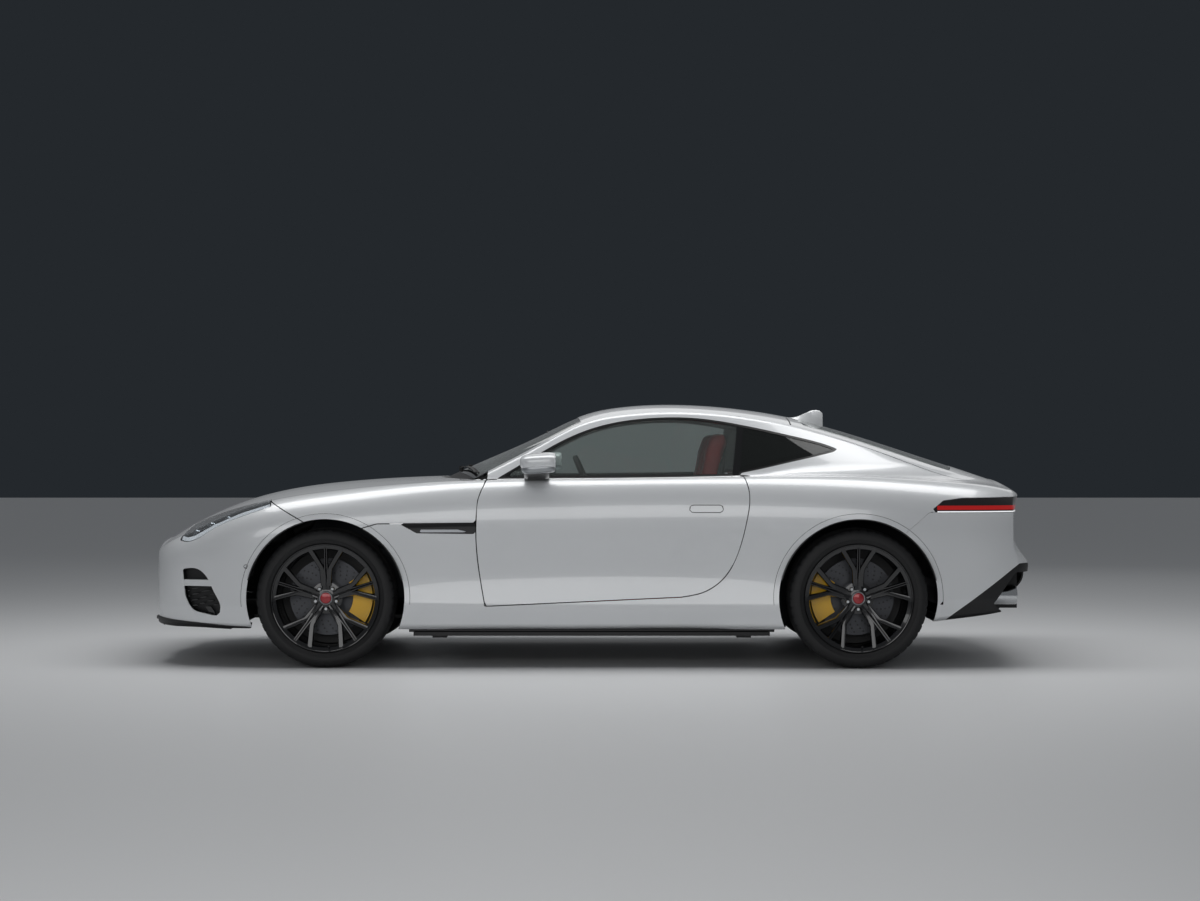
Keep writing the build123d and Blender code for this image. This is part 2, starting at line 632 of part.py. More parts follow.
def door_hinge(height):
    """A goose-neck arm from the hinge pillar to its pin."""
    with BuildPart() as hinge:
        with BuildSketch(Plane.XY.offset(height - HINGE_ARM_HEIGHT / 2)):
            with Locations((DOOR_HINGE_X, DOOR_HINGE_Y)):
                Circle(HINGE_PIN + 6)
            with BuildLine():
                Polyline(
                    (DOOR_HINGE_X - 12, DOOR_HINGE_Y), (DOOR_HINGE_X + HINGE_ARM_LEAD, DOOR_HINGE_Y),
                    (DOOR_HINGE_X + 12, DOOR_HINGE_Y - 90), (FIREWALL_X - 95, DOOR_HINGE_Y - 90),
                    (FIREWALL_X - 95, DOOR_HINGE_Y - 114), (DOOR_HINGE_X - 12, DOOR_HINGE_Y - 114),
                    (DOOR_HINGE_X - 12, DOOR_HINGE_Y),
                )
            make_face()
        extrude(amount=HINGE_ARM_HEIGHT)
        with BuildSketch(Plane.XY.offset(height - HINGE_ARM_HEIGHT)):
            with Locations((DOOR_HINGE_X, DOOR_HINGE_Y)):
                Circle(HINGE_PIN)
        extrude(amount=2 * HINGE_ARM_HEIGHT)
    return hinge.part


def door_hinge_notch(height):
    with BuildPart() as notch:
        with BuildSketch(Plane.XY.offset(height - HINGE_ARM_HEIGHT / 2 - 6)):
            with Locations((DOOR_HINGE_X, DOOR_HINGE_Y)):
                Circle(HINGE_PIN + 12)
            with BuildLine():
                Polyline(
                    (DOOR_HINGE_X - 20, DOOR_HINGE_Y - 200), (DOOR_HINGE_X - 20, DOOR_HINGE_Y),
                    (DOOR_HINGE_X + 150, DOOR_HINGE_Y), (DOOR_HINGE_X + 150, DOOR_HINGE_Y - 200),
                    (DOOR_HINGE_X - 20, DOOR_HINGE_Y - 200),
                )
            make_face()
        extrude(amount=HINGE_ARM_HEIGHT + 12)
        with BuildSketch(Plane.XY.offset(height - HINGE_ARM_HEIGHT - 4)):
            with Locations((DOOR_HINGE_X, DOOR_HINGE_Y)):
                Circle(HINGE_PIN + RUNNING_CLEARANCE)
        extrude(amount=2 * HINGE_ARM_HEIGHT + 8)
    return notch.part


with BuildPart() as door_left:
    add(largest(lower_outer & door_tool & block(-FAR, FAR, DOOR_INNER_Y, FAR, 0, FAR)))
    add(block(DOOR_HINGE_X, FAR, 0, DOOR_HINGE_Y - DOOR_FLANGE, 0, FAR), mode=Mode.SUBTRACT)
    for height in DOOR_HINGE_HEIGHTS:
        add(door_hinge_notch(height), mode=Mode.SUBTRACT)
save(door_left.part, "door_left")
with BuildPart() as door_right:
    add(mirrored(door_left.part))
save(door_right.part, "door_right")

with BuildPart() as door_hinge_pair:
    for height in DOOR_HINGE_HEIGHTS:
        add(door_hinge(height))
save(both_sides(door_hinge_pair.part), "door_hinges")

# Door mirrors on a stalk from the door's shoulder
MIRROR_X = DOOR_FRONT_X - 318
MIRROR_Y = 935
MIRROR_Z = 1002
with BuildPart() as mirror_left:
    with BuildSketch(Plane.XZ.offset(-(MIRROR_Y - 82))):
        with Locations((MIRROR_X, MIRROR_Z)):
            RectangleRounded(150, 96, 40)
    with BuildSketch(Plane.XZ.offset(-MIRROR_Y)):
        with Locations((MIRROR_X + 8, MIRROR_Z)):
            RectangleRounded(184, 116, 48)
    with BuildSketch(Plane.XZ.offset(-(MIRROR_Y + 82))):
        with Locations((MIRROR_X - 2, MIRROR_Z - 2)):
            RectangleRounded(120, 80, 34)
    loft()
    with BuildSketch(Plane.XY.offset(BELT_Z - 60)):
        with Locations((MIRROR_X + 4, 812)):
            RectangleRounded(110, 30, 12)
    with BuildSketch(Plane.XY.offset(MIRROR_Z - 30)):
        with Locations((MIRROR_X + 4, MIRROR_Y - 50)):
            RectangleRounded(90, 44, 16)
    loft()
    add(lower_outer, mode=Mode.SUBTRACT)
save(mirror_left.part, "mirror_left")
with BuildPart() as mirror_right:
    add(mirrored(mirror_left.part))
save(mirror_right.part, "mirror_right")

# Tailgate and its glass
HATCH_LUG_Y = 180
hatch_glass_tool = plan_tool(hatch_glass_outline, z_from=900)
with BuildPart() as hatch_glass:
    add(largest(roof_glass_skin & hatch_glass_tool))
save(hatch_glass.part, "hatch_glass")

with BuildPart() as hatch:
    hatch_pane_gap = plan_tool(hatch_glass_outline, SEAM, z_from=900)
    add(largest(cut(skin & hatch_tool, hatch_pane_gap, hatch_swing & roof_thin_inner)))
    hatch_lug = largest(cut(lug(HATCH_HINGE_X, HATCH_HINGE_Z, HATCH_LUG_Y, 4, 40) & roof_outer, hatch_glass.part))
    add(hatch_lug)
    add(mirrored(hatch_lug))
save(hatch.part, "hatch")

FIN_X = HATCH_FRONT_X - 112
with BuildPart() as roof_fin:
    with BuildSketch(Plane.XZ.offset(-14)):
        with BuildLine():
            Polyline(
                (FIN_X + 98, 1215), (FIN_X - 30, 1284), (FIN_X - 70, 1284), (FIN_X - 98, 1190), (FIN_X + 98, 1190),
                (FIN_X + 98, 1215),
            )
        make_face()
    extrude(amount=28)
    add(roof_outer, mode=Mode.SUBTRACT)
save(roof_fin.part, "roof_fin")

# Tail: lamps, bumper, diffuser and exhaust
with BuildPart() as tail_lamp:
    add(largest(skin & lamp_tool))
save(both_sides(tail_lamp.part), "tail_lamps")


def diffuser_outline():
    Polyline(
        (REAR_AXLE_X - 420, 100), (REAR_AXLE_X - 420, 226), (TAIL_X + 122, 511), (TAIL_X - 40, 511),
        (TAIL_X - 40, 100), (REAR_AXLE_X - 420, 100),
    )


EXHAUST_Y = (470, 585)
EXHAUST_Z = 352
EXHAUST_RADIUS = 46
with BuildPart() as tip_room:
    for y in EXHAUST_Y:
        for side in (1, -1):
            add(rod((TAIL_X - 50, side * y, EXHAUST_Z), (TAIL_X + 400, side * y, EXHAUST_Z), EXHAUST_RADIUS + 8))
with BuildPart() as rear_bumper:
    add(largest(cut(skin & rear_bumper_tool, wells, side_tool(diffuser_outline, SEAM))))
    add(skin & block(TAIL_X - 20, REAR_AXLE_X - 640, -380 + SEAM, 380 - SEAM, 740, HATCH_FOOT_Z - SHUT_GAP))
save(rear_bumper.part, "rear_bumper")


def diffuser_plate():
    Polyline(
        (REAR_AXLE_X - 430, 218), (TAIL_X + 170, 286), (TAIL_X + 170, 298), (REAR_AXLE_X - 430, 232),
        (REAR_AXLE_X - 430, 218),
    )


with BuildPart() as diffuser:
    add(largest(cut(skin & side_tool(diffuser_outline), wells, tip_room.part)))
    add(lower_hollow & side_tool(diffuser_plate))
save(diffuser.part, "diffuser")

SILENCER_X = TAIL_X + 420
with BuildPart() as exhaust:
    with BuildSketch(Plane.YZ.offset(SILENCER_X - 90)):
        with Locations((0, EXHAUST_Z)):
            RectangleRounded(1120, 120, 50)
    extrude(amount=180)
    for y in EXHAUST_Y:
        for side in (1, -1):
            add(rod((TAIL_X + 40, side * y, EXHAUST_Z), (SILENCER_X, side * y, EXHAUST_Z), EXHAUST_RADIUS))
            add(rod((TAIL_X + 30, side * y, EXHAUST_Z), (TAIL_X + 160, side * y, EXHAUST_Z), EXHAUST_RADIUS - 4),
                mode=Mode.SUBTRACT)
save(exhaust.part, "exhaust")

with BuildPart() as side_skirt:
    add(block(REAR_AXLE_X + ARCH_RADIUS + 20, FRONT_AXLE_X - ARCH_RADIUS - 20, 770, 888, SILL_Z - 14, SILL_Z + 1))
    add(lower_outer, mode=Mode.SUBTRACT)
    fillet(side_skirt.edges().filter_by(Axis.Z), 30)
JACK_X = (REAR_AXLE_X + 560, FRONT_AXLE_X - 560)
JACK_PAD = 70
with BuildPart() as jack_pad:
    for x in JACK_X:
        add(block(x - JACK_PAD / 2, x + JACK_PAD / 2, 790, 790 + JACK_PAD, SILL_Z - 44, SILL_Z - 14))
save(both_sides(side_skirt.part), "side_skirts")
save(both_sides(jack_pad.part), "jack_pads")

LINER_FLANGE = 45
with BuildPart() as liner:
    for place, inner_y, skin_y in ((FRONT_WHEEL, FRONT_WELL_INNER, 925), (REAR_WHEEL, REAR_WELL_INNER, 948)):
        outer = WELL_RADIUS - SEAM
        lip = ARCH_RADIUS - SEAM
        step_y = skin_y - LINER_FLANGE
        with BuildSketch(Plane.XY.offset(HUB_Z)):
            with BuildLine():
                Polyline(
                    (place.x + outer, inner_y + 60), (place.x + outer, step_y), (place.x + lip, step_y),
                    (place.x + lip, skin_y), (place.x + lip - LINER_THICKNESS, skin_y),
                    (place.x + lip - LINER_THICKNESS, step_y - LINER_THICKNESS),
                    (place.x + outer - LINER_THICKNESS, step_y - LINER_THICKNESS),
                    (place.x + outer - LINER_THICKNESS, inner_y + 60), (place.x + outer, inner_y + 60),
                )
            make_face()
        revolve(axis=Axis((place.x, 0, HUB_Z), (0, 1, 0)))
    add(block(-FAR, FAR, -FAR, FAR, -FAR, HUB_Z + 90), mode=Mode.SUBTRACT)
    add(side_tool(hood_outline, SHUT_GAP, y_from=860), mode=Mode.SUBTRACT)
save(both_sides(liner.part), "wheel_liners")

# Tub: floor, tunnel, firewall, rear bulkhead and boot floor
FLOOR_Z = 176
FLOOR_THICKNESS = 26
TUNNEL_HALF_WIDTH = 150
TUNNEL_Z = 400
WALL = 24
with BuildPart() as tub:
    add(block(REAR_BULKHEAD_X, FIREWALL_X, -CABIN_HALF_WIDTH + SEAM, CABIN_HALF_WIDTH - SEAM,
              FLOOR_Z, FLOOR_Z + FLOOR_THICKNESS))
    add(block(REAR_BULKHEAD_X, FIREWALL_X, -TUNNEL_HALF_WIDTH, TUNNEL_HALF_WIDTH, FLOOR_Z, TUNNEL_Z))
    add(block(REAR_BULKHEAD_X - 1, FIREWALL_X + 1, -TUNNEL_HALF_WIDTH + WALL, TUNNEL_HALF_WIDTH - WALL,
              FLOOR_Z - 1, TUNNEL_Z - WALL), mode=Mode.SUBTRACT)
    add(block(FIREWALL_X - WALL, FIREWALL_X, -CABIN_HALF_WIDTH + 61, CABIN_HALF_WIDTH - 61, FLOOR_Z, 880))
    add(block(REAR_BULKHEAD_X, REAR_BULKHEAD_X + WALL, -CABIN_HALF_WIDTH + SEAM, CABIN_HALF_WIDTH - SEAM,
              FLOOR_Z, 760))
    add(block(TAIL_X + 160, REAR_BULKHEAD_X + WALL, -BOOT_HALF_WIDTH + SEAM, BOOT_HALF_WIDTH - SEAM, 556, 556 + WALL))
    for side in (1, -1):
        add(block(REAR_AXLE_X - 440, REAR_BULKHEAD_X, side * (BOOT_HALF_WIDTH - WALL), side * (BOOT_HALF_WIDTH - 2),
                  556, WELL_TOP_Z))
    add(side_tool(tail_profile, SKIN), mode=Mode.SUBTRACT)
    for solid in wells.solids():
        add(solid, mode=Mode.SUBTRACT)
save(tub.part, "tub")

# Cabin
SEAT_Y = 372
DASH_X = FRONT_AXLE_X - 1010
DASH_HALF_WIDTH = CABIN_HALF_WIDTH - 66
STEER_HUB = (FRONT_AXLE_X - 1299, SEAT_Y, 868)
STEER_TILT = 24
STEER_WHEEL_RADIUS = 178
STEER_RIM = 15
steer_axis = Vector(-math.cos(math.radians(STEER_TILT)), 0, math.sin(math.radians(STEER_TILT)))
steer_plane = Plane(origin=STEER_HUB, x_dir=(0, -1, 0), z_dir=steer_axis)


def dash_profile():
    top = ThreePointArc((FIREWALL_X - WALL - SEAM, 880), (DASH_X + 150, 946), (DASH_X, 900))
    brow = TangentArc(top @ 1, (DASH_X + 60, 760), tangent=top % 1)
    Polyline(brow @ 1, (DASH_X + 190, 620), (FIREWALL_X - WALL - SEAM, 600), top @ 0)


with BuildPart() as dashboard:
    with BuildSketch(Plane.XZ.offset(-DASH_HALF_WIDTH)):
        with BuildLine():
            dash_profile()
        make_face()
    extrude(amount=2 * DASH_HALF_WIDTH)
    with BuildSketch(Plane.YZ.offset(DASH_X + 10)):
        with Locations((SEAT_Y, 926)):
            RectangleRounded(360, 70, 30)
    extrude(amount=220)
    column_end = Vector(*STEER_HUB) - steer_axis * (14 + RUNNING_CLEARANCE)
    add(rod(column_end, Vector(*STEER_HUB) - steer_axis * 330, 34))
    add(cowl.part, mode=Mode.SUBTRACT)
    add(body_side_left, mode=Mode.SUBTRACT)
    add(mirrored(body_side_left), mode=Mode.SUBTRACT)
save(dashboard.part, "dashboard")

with BuildPart() as steering_wheel:
    with BuildSketch(Plane(origin=STEER_HUB, x_dir=steer_axis, z_dir=steer_plane.x_dir)):
        with Locations((0, STEER_WHEEL_RADIUS)):
            Circle(STEER_RIM)
    revolve(axis=Axis(STEER_HUB, steer_axis))
    with BuildSketch(steer_plane.offset(-14)):
        Circle(62)
        for angle in (0, 180, 270):
            with PolarLocations(STEER_WHEEL_RADIUS / 2, 1, start_angle=angle):
                Rectangle(STEER_WHEEL_RADIUS, 34)
    extrude(amount=22)
save(steering_wheel.part, "steering_wheel")

with BuildPart() as console:
    with BuildSketch(Plane.XZ.offset(-130)):
        with BuildLine():
            Polyline(
                (DASH_X + 160, TUNNEL_Z), (DASH_X + 160, 640), (DASH_X + 60, 620), (DASH_X - 120, 560),
                (DASH_X - 900, 560), (DASH_X - 1000, 480), (DASH_X - 1000, TUNNEL_Z), (DASH_X + 160, TUNNEL_Z),
            )
        make_face()
    extrude(amount=260)
    add(dashboard.part, mode=Mode.SUBTRACT)
save(console.part, "console")

SEAT_WIDTH = 440
HEADREST_WIDTH = 250
SEAT_BASE_Z = FLOOR_Z + FLOOR_THICKNESS


def seat_profile():
    """Side view of a bucket seat: cushion, raked back and headrest in one shell."""
    Polyline(
        (DASH_X - 250, SEAT_BASE_Z), (DASH_X - 210, 330), (DASH_X - 215, 400), (DASH_X - 300, 420),
        (DASH_X - 730, 390), (DASH_X - 770, 430), (DASH_X - 870, 950), (DASH_X - 905, 1140), (DASH_X - 950, 1176),
        (DASH_X - 1010, 1150), (DASH_X - 1020, 1000), (DASH_X - 930, 480), (DASH_X - 900, 330),
        (DASH_X - 860, SEAT_BASE_Z), (DASH_X - 250, SEAT_BASE_Z),
    )


with BuildPart() as seat:
    with BuildSketch(Plane.XZ.offset(-(SEAT_Y + SEAT_WIDTH / 2))):
        with BuildLine():
            seat_profile()
        make_face()
    extrude(amount=SEAT_WIDTH)
    with BuildSketch(Plane.YZ.offset(DASH_X - 1100)):
        with BuildLine():
            Polyline(
                (SEAT_Y - SEAT_WIDTH / 2, 0), (SEAT_Y - SEAT_WIDTH / 2, 820), (SEAT_Y - HEADREST_WIDTH / 2, 980),
                (SEAT_Y - HEADREST_WIDTH / 2 + 20, 1300), (SEAT_Y + HEADREST_WIDTH / 2 - 20, 1300),
                (SEAT_Y + HEADREST_WIDTH / 2, 980), (SEAT_Y + SEAT_WIDTH / 2, 820), (SEAT_Y + SEAT_WIDTH / 2, 0),
                (SEAT_Y - SEAT_WIDTH / 2, 0),
            )
        make_face()
    extrude(amount=1200, mode=Mode.INTERSECT)
save(both_sides(seat.part), "seats")

# Running gear
KINGPIN_Y = FRONT_WHEEL.track / 2 - KINGPIN_INSET
BALL_JOINT_HIGH = 150
BALL_JOINT_LOW = -140
ARM_GAP = 6


def wheel_y(place):
    return place.track / 2


DISC_INSET = 40
UPRIGHT_HALF_WIDTH = 14


def knuckle(place):
    """Upright with a stub axle, and the ears that take the suspension arms."""
    y = wheel_y(place) - KINGPIN_INSET
    with BuildPart() as upright:
        with BuildSketch(Plane.XZ.offset(-(y - UPRIGHT_HALF_WIDTH))):
            with Locations((place.x, HUB_Z)):
                Circle(62)
            with BuildLine():
                Polyline(
                    (place.x - 26, HUB_Z + BALL_JOINT_HIGH - 20), (place.x + 26, HUB_Z + BALL_JOINT_HIGH - 20),
                    (place.x + 40, HUB_Z), (place.x + 26, HUB_Z + BALL_JOINT_LOW + 20),
                    (place.x - 26, HUB_Z + BALL_JOINT_LOW + 20), (place.x - 40, HUB_Z),
                    (place.x - 26, HUB_Z + BALL_JOINT_HIGH - 20),
                )
            make_face()
        extrude(amount=-2 * UPRIGHT_HALF_WIDTH)
        add(rod((place.x, y, HUB_Z), (place.x, wheel_y(place) + 30, HUB_Z), HUB_BORE - RUNNING_CLEARANCE))
    return upright.part


def disc_plane_y(place):
    return wheel_y(place) - DISC_INSET


def caliper(place, side):
    """A six-piston block straddling the disc: side is +1 ahead of the axle and -1 behind it."""
    y = disc_plane_y(place)
    with BuildPart() as body:
        with BuildSketch(Plane.XZ.offset(-(y + DISC_THICKNESS / 2 + 34))):
            with BuildLine():
                a = math.radians(34)
                inner, outer = DISC_RADIUS - 62, DISC_RADIUS + 34
                cx, cz = place.x, HUB_Z
                p = [(cx + side * r * math.cos(t), cz + r * math.sin(t))
                     for r, t in ((outer, a), (outer, 0), (outer, -a), (inner, -a), (inner, 0), (inner, a))]
                ThreePointArc(p[0], p[1], p[2])
                Line(p[2], p[3])
                ThreePointArc(p[3], p[4], p[5])
                Line(p[5], p[0])
            make_face()
        extrude(amount=DISC_THICKNESS + 68)
        with BuildSketch(Plane.XZ.offset(-(y + DISC_THICKNESS / 2 + CALIPER_GAP))):
            with Locations((place.x, HUB_Z)):
                Circle(DISC_RADIUS + CALIPER_GAP)
        extrude(amount=DISC_THICKNESS + 2 * CALIPER_GAP, mode=Mode.SUBTRACT)
        add(block(place.x + side * 30, place.x + side * (DISC_RADIUS - 40), y - DISC_THICKNESS / 2 - 34,
                  y - DISC_THICKNESS / 2 - 14, HUB_Z - 30, HUB_Z + 30))
    return body.part


knuckle_left_solid = knuckle(FRONT_WHEEL)
with BuildPart() as knuckle_left:
    add(knuckle_left_solid)
save(knuckle_left.part, "knuckle_left")
with BuildPart() as knuckle_right:
    add(mirrored(knuckle_left.part))
save(knuckle_right.part, "knuckle_right")
with BuildPart() as caliper_front_left:
    add(caliper(FRONT_WHEEL, -1))
    add(knuckle_left.part, mode=Mode.SUBTRACT)
save(caliper_front_left.part, "caliper_front_left")
with BuildPart() as caliper_front_right:
    add(mirrored(caliper_front_left.part))
save(caliper_front_right.part, "caliper_front_right")
with BuildPart() as rear_upright:
    add(knuckle(REAR_WHEEL))
save(both_sides(rear_upright.part), "rear_uprights")
with BuildPart() as rear_caliper:
    add(caliper(REAR_WHEEL, 1))
    add(rear_upright.part, mode=Mode.SUBTRACT)
save(both_sides(rear_caliper.part), "rear_calipers")


def arm(place, joint_y, joint_z, root_y, root_z, gap):
    """One wishbone: narrow at its ball joint, two legs to the subframe."""
    with BuildPart() as wishbone:
        for spread in (-1, 1):
            add(rod((place.x, joint_y - gap, joint_z), (place.x + spread * 110, root_y, root_z), 15))
    return wishbone.part


def suspension(place, joint_y, root_y, gap):
    """Wishbones and their crossmember, left half and right half joined by the beam."""
    with BuildPart() as frame:
        add(block(place.x - 150, place.x + 150, -root_y - 20, root_y + 20, 236, 276))
        for side in (1, -1):
            add(block(place.x - 150, place.x + 150, side * (root_y - 30), side * (root_y + 20), 236,
                      HUB_Z + BALL_JOINT_HIGH + 26))
        for height in (BALL_JOINT_LOW, BALL_JOINT_HIGH):
            one = arm(place, joint_y, HUB_Z + height * (1 if gap else 0.8), root_y, HUB_Z + height * 0.62, gap)
            add(one)
            add(mirrored(one))
    return frame.part


with BuildPart() as front_subframe:
    add(suspension(FRONT_WHEEL, KINGPIN_Y, 410, ARM_GAP))
    pin_foot = HUB_Z + BALL_JOINT_LOW - 12
    pin_head = HUB_Z + BALL_JOINT_HIGH + 12
    pin_grip = 32 - RUNNING_CLEARANCE
    ball = rod((FRONT_WHEEL.x, KINGPIN_Y, pin_foot), (FRONT_WHEEL.x, KINGPIN_Y, pin_foot + pin_grip), 14)
    ball_high = rod((FRONT_WHEEL.x, KINGPIN_Y, pin_head - pin_grip), (FRONT_WHEEL.x, KINGPIN_Y, pin_head), 14)
    for piece in (ball, ball_high):
        add(piece)
        add(mirrored(piece))
    add(knuckle_left.part, mode=Mode.SUBTRACT)
    add(knuckle_right.part, mode=Mode.SUBTRACT)
save(front_subframe.part, "front_subframe")

with BuildPart() as rear_subframe:
    add(suspension(REAR_WHEEL, wheel_y(REAR_WHEEL) - KINGPIN_INSET, 470, 0))
    add(rear_upright.part, mode=Mode.SUBTRACT)
    add(mirrored(rear_upright.part), mode=Mode.SUBTRACT)
save(rear_subframe.part, "rear_subframe")

with BuildPart() as engine:
    with BuildSketch(Plane.YZ.offset(FRONT_AXLE_X - 480)):
        with Locations((0, 426)):
            RectangleRounded(600, 300, 40)
        with Locations((0, 660)):
            RectangleRounded(500, 280, 60)
    extrude(amount=640)
save(engine.part, "engine")

HOOD_FRAME_X = HOOD_HINGE_X + 6
with BuildPart() as nose_frame:
    add(block(HOOD_FRAME_X - 40, HOOD_FRAME_X + 20, -430, 430, UNDERTRAY_Z + UNDERTRAY_THICKNESS, 300))
    for side in (1, -1):
        near = side * (HOOD_LUG_Y + LUG_THICKNESS + 2)
        add(block(HOOD_FRAME_X - 40, HOOD_FRAME_X + 20, near, near + side * 30, 290, 560))
        add(block(HOOD_HINGE_X - 14, HOOD_HINGE_X + 14, near, near + side * 14, 540, HOOD_HINGE_Z))
        tip = side * (HOOD_LUG_Y - 4)
        add(rod((HOOD_HINGE_X, near + side * 14, HOOD_HINGE_Z), (HOOD_HINGE_X, tip, HOOD_HINGE_Z), HINGE_PIN))
save(nose_frame.part, "nose_frame")

HEADER_DROP = 62
with BuildPart() as roof_header:
    header_foot_z = HATCH_HINGE_Z - HEADER_DROP
    add((roof_hollow & block(HATCH_HINGE_X + 84, HATCH_HINGE_X + 130, -480, 480, 1100, 1400))
        - block(HATCH_HINGE_X, HATCH_HINGE_X + 200, -600, 600, 0, header_foot_z))
    for side in (1, -1):
        near = side * (HATCH_LUG_Y + LUG_THICKNESS + 2)
        far = near + side * 14
        tip = side * (HATCH_LUG_Y - 4)
        add(block(HATCH_HINGE_X - 14, HATCH_HINGE_X + 90, near, far, header_foot_z, header_foot_z + 16))
        add(block(HATCH_HINGE_X - 14, HATCH_HINGE_X + 14, near, far, header_foot_z, HATCH_HINGE_Z))
        add(rod((HATCH_HINGE_X, far, HATCH_HINGE_Z), (HATCH_HINGE_X, tip, HATCH_HINGE_Z), HINGE_PIN))
save(roof_header.part, "roof_header")

# Wheels
TYRE_BEAD_RADIUS = 254
RIM_WALL = 13
RIM_INSET = 18
FLANGE_WIDTH = 12
SPOKE_COUNT = 5
SPOKE_DEPTH = 30


def tyre(place, centre_y):
    """Low-profile tyre: beads between the rim's flanges, a bulged wall and a rounded shoulder."""
    half = place.width / 2
    bead_y = half - RIM_INSET - FLANGE_WIDTH - SEAM
    bead = place.x + TYRE_BEAD_RADIUS + SEAM
    seat_r = place.x + RIM_RADIUS + SEAM
    crown = place.x + TYRE_RADIUS
    with BuildPart() as ring:
        with BuildSketch(Plane.XY.offset(HUB_Z)):
            with BuildLine():
                for side in (1, -1):
                    Polyline((bead, centre_y + side * bead_y), (seat_r, centre_y + side * bead_y),
                             (seat_r, centre_y + side * (half - 10)))
                    ThreePointArc((seat_r, centre_y + side * (half - 10)), (seat_r + 24, centre_y + side * half),
                                  (crown - 22, centre_y + side * (half - 12)))
                    ThreePointArc((crown - 22, centre_y + side * (half - 12)), (crown - 8, centre_y + side * (half - 22)),
                                  (crown - 2, centre_y + side * (half - 40)))
                ThreePointArc((crown - 2, centre_y + half - 40), (crown, centre_y), (crown - 2, centre_y - half + 40))
                Line((bead, centre_y + bead_y), (bead, centre_y - bead_y))
            make_face()
        revolve(axis=Axis((place.x, centre_y, HUB_Z), (0, 1, 0)))
    return ring.part


# One spoke, pointing along +X: a stem from the hub that splits into three prongs at the rim
STEM_SPLIT = 120
PRONG_TIP = TYRE_BEAD_RADIUS - 7
PRONG_HALF_WIDTH = 10
PRONG_FAN = 17
with BuildSketch() as trident:
    with BuildLine():
        Polyline((40, 26), (STEM_SPLIT, 17), (175, 19), (175, -19), (STEM_SPLIT, -17), (40, -26), (40, 26))
    make_face()
    for lean in (-1, 0, 1):
        root = math.radians(5 * lean)
        tip = math.radians(PRONG_FAN * lean)
        near = [(STEM_SPLIT * math.cos(root), STEM_SPLIT * math.sin(root) + s * PRONG_HALF_WIDTH) for s in (1, -1)]
        far = [(PRONG_TIP * math.cos(tip) - s * PRONG_HALF_WIDTH * math.sin(tip),
                PRONG_TIP * math.sin(tip) + s * PRONG_HALF_WIDTH * math.cos(tip)) for s in (1, -1)]
        with BuildLine():
            Polyline(near[0], far[0], far[1], near[1], near[0])
        make_face()


def rim(place, centre_y):
    half = place.width / 2 - RIM_INSET
    face_y = centre_y + half - 22
    with BuildPart() as wheel:
        with BuildSketch(Plane.XY.offset(HUB_Z)):
            with BuildLine():
                r0 = TYRE_BEAD_RADIUS
                Polyline(
                    (place.x + r0, centre_y - half + FLANGE_WIDTH), (place.x + RIM_RADIUS, centre_y - half + FLANGE_WIDTH),
                    (place.x + RIM_RADIUS, centre_y - half), (place.x + r0 - RIM_WALL, centre_y - half),
                    (place.x + r0 - RIM_WALL, centre_y + half), (place.x + RIM_RADIUS, centre_y + half),
                    (place.x + RIM_RADIUS, centre_y + half - FLANGE_WIDTH), (place.x + r0, centre_y + half - FLANGE_WIDTH),
                    (place.x + r0, centre_y - half + FLANGE_WIDTH),
                )
            make_face()
        revolve(axis=Axis((place.x, centre_y, HUB_Z), (0, 1, 0)))
        spoke_plane = Plane(origin=(place.x, face_y, HUB_Z), x_dir=(1, 0, 0), z_dir=(0, 1, 0))
        with BuildSketch(spoke_plane):
            with PolarLocations(0, SPOKE_COUNT, start_angle=-90):
                add(trident.sketch)
            Circle(72)
        extrude(amount=-SPOKE_DEPTH)
        with BuildSketch(spoke_plane.offset(-SPOKE_DEPTH)):
            Circle(72)
        extrude(amount=-(face_y - SPOKE_DEPTH - (disc_plane_y(place) + DISC_THICKNESS / 2)))
        with BuildSketch(spoke_plane.offset(10)):
            Circle(HUB_BORE)
        extrude(amount=-300, mode=Mode.SUBTRACT)
    return wheel.part


def disc(place):
    y = disc_plane_y(place)
    with BuildPart() as rotor:
        with BuildSketch(Plane.XZ.offset(-(y - DISC_THICKNESS / 2))):
            with Locations((place.x, HUB_Z)):
                Circle(DISC_RADIUS)
                Circle(HUB_BORE, mode=Mode.SUBTRACT)
        extrude(amount=-DISC_THICKNESS)
    return rotor.part


for end, place in (("front", FRONT_WHEEL), ("rear", REAR_WHEEL)):
    with BuildPart() as tyre_left:
        add(tyre(place, wheel_y(place)))
    with BuildPart() as rim_left:
        add(rim(place, wheel_y(place)))
    with BuildPart() as disc_left:
        add(disc(place))
    for piece, label in ((tyre_left, "tyre"), (rim_left, "rim"), (disc_left, "disc")):
        save(piece.part, f"{label}_{end}_left")
        save(mirrored(piece.part), f"{label}_{end}_right")
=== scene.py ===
"""Looks of the two-seat fastback sports coupe: painted panels, glass, lamps, wheels, cabin and underside.

Metres, in the row's frame: +X forward, +Y to the car's left, +Z up, ground at z = 0.
"""

import math

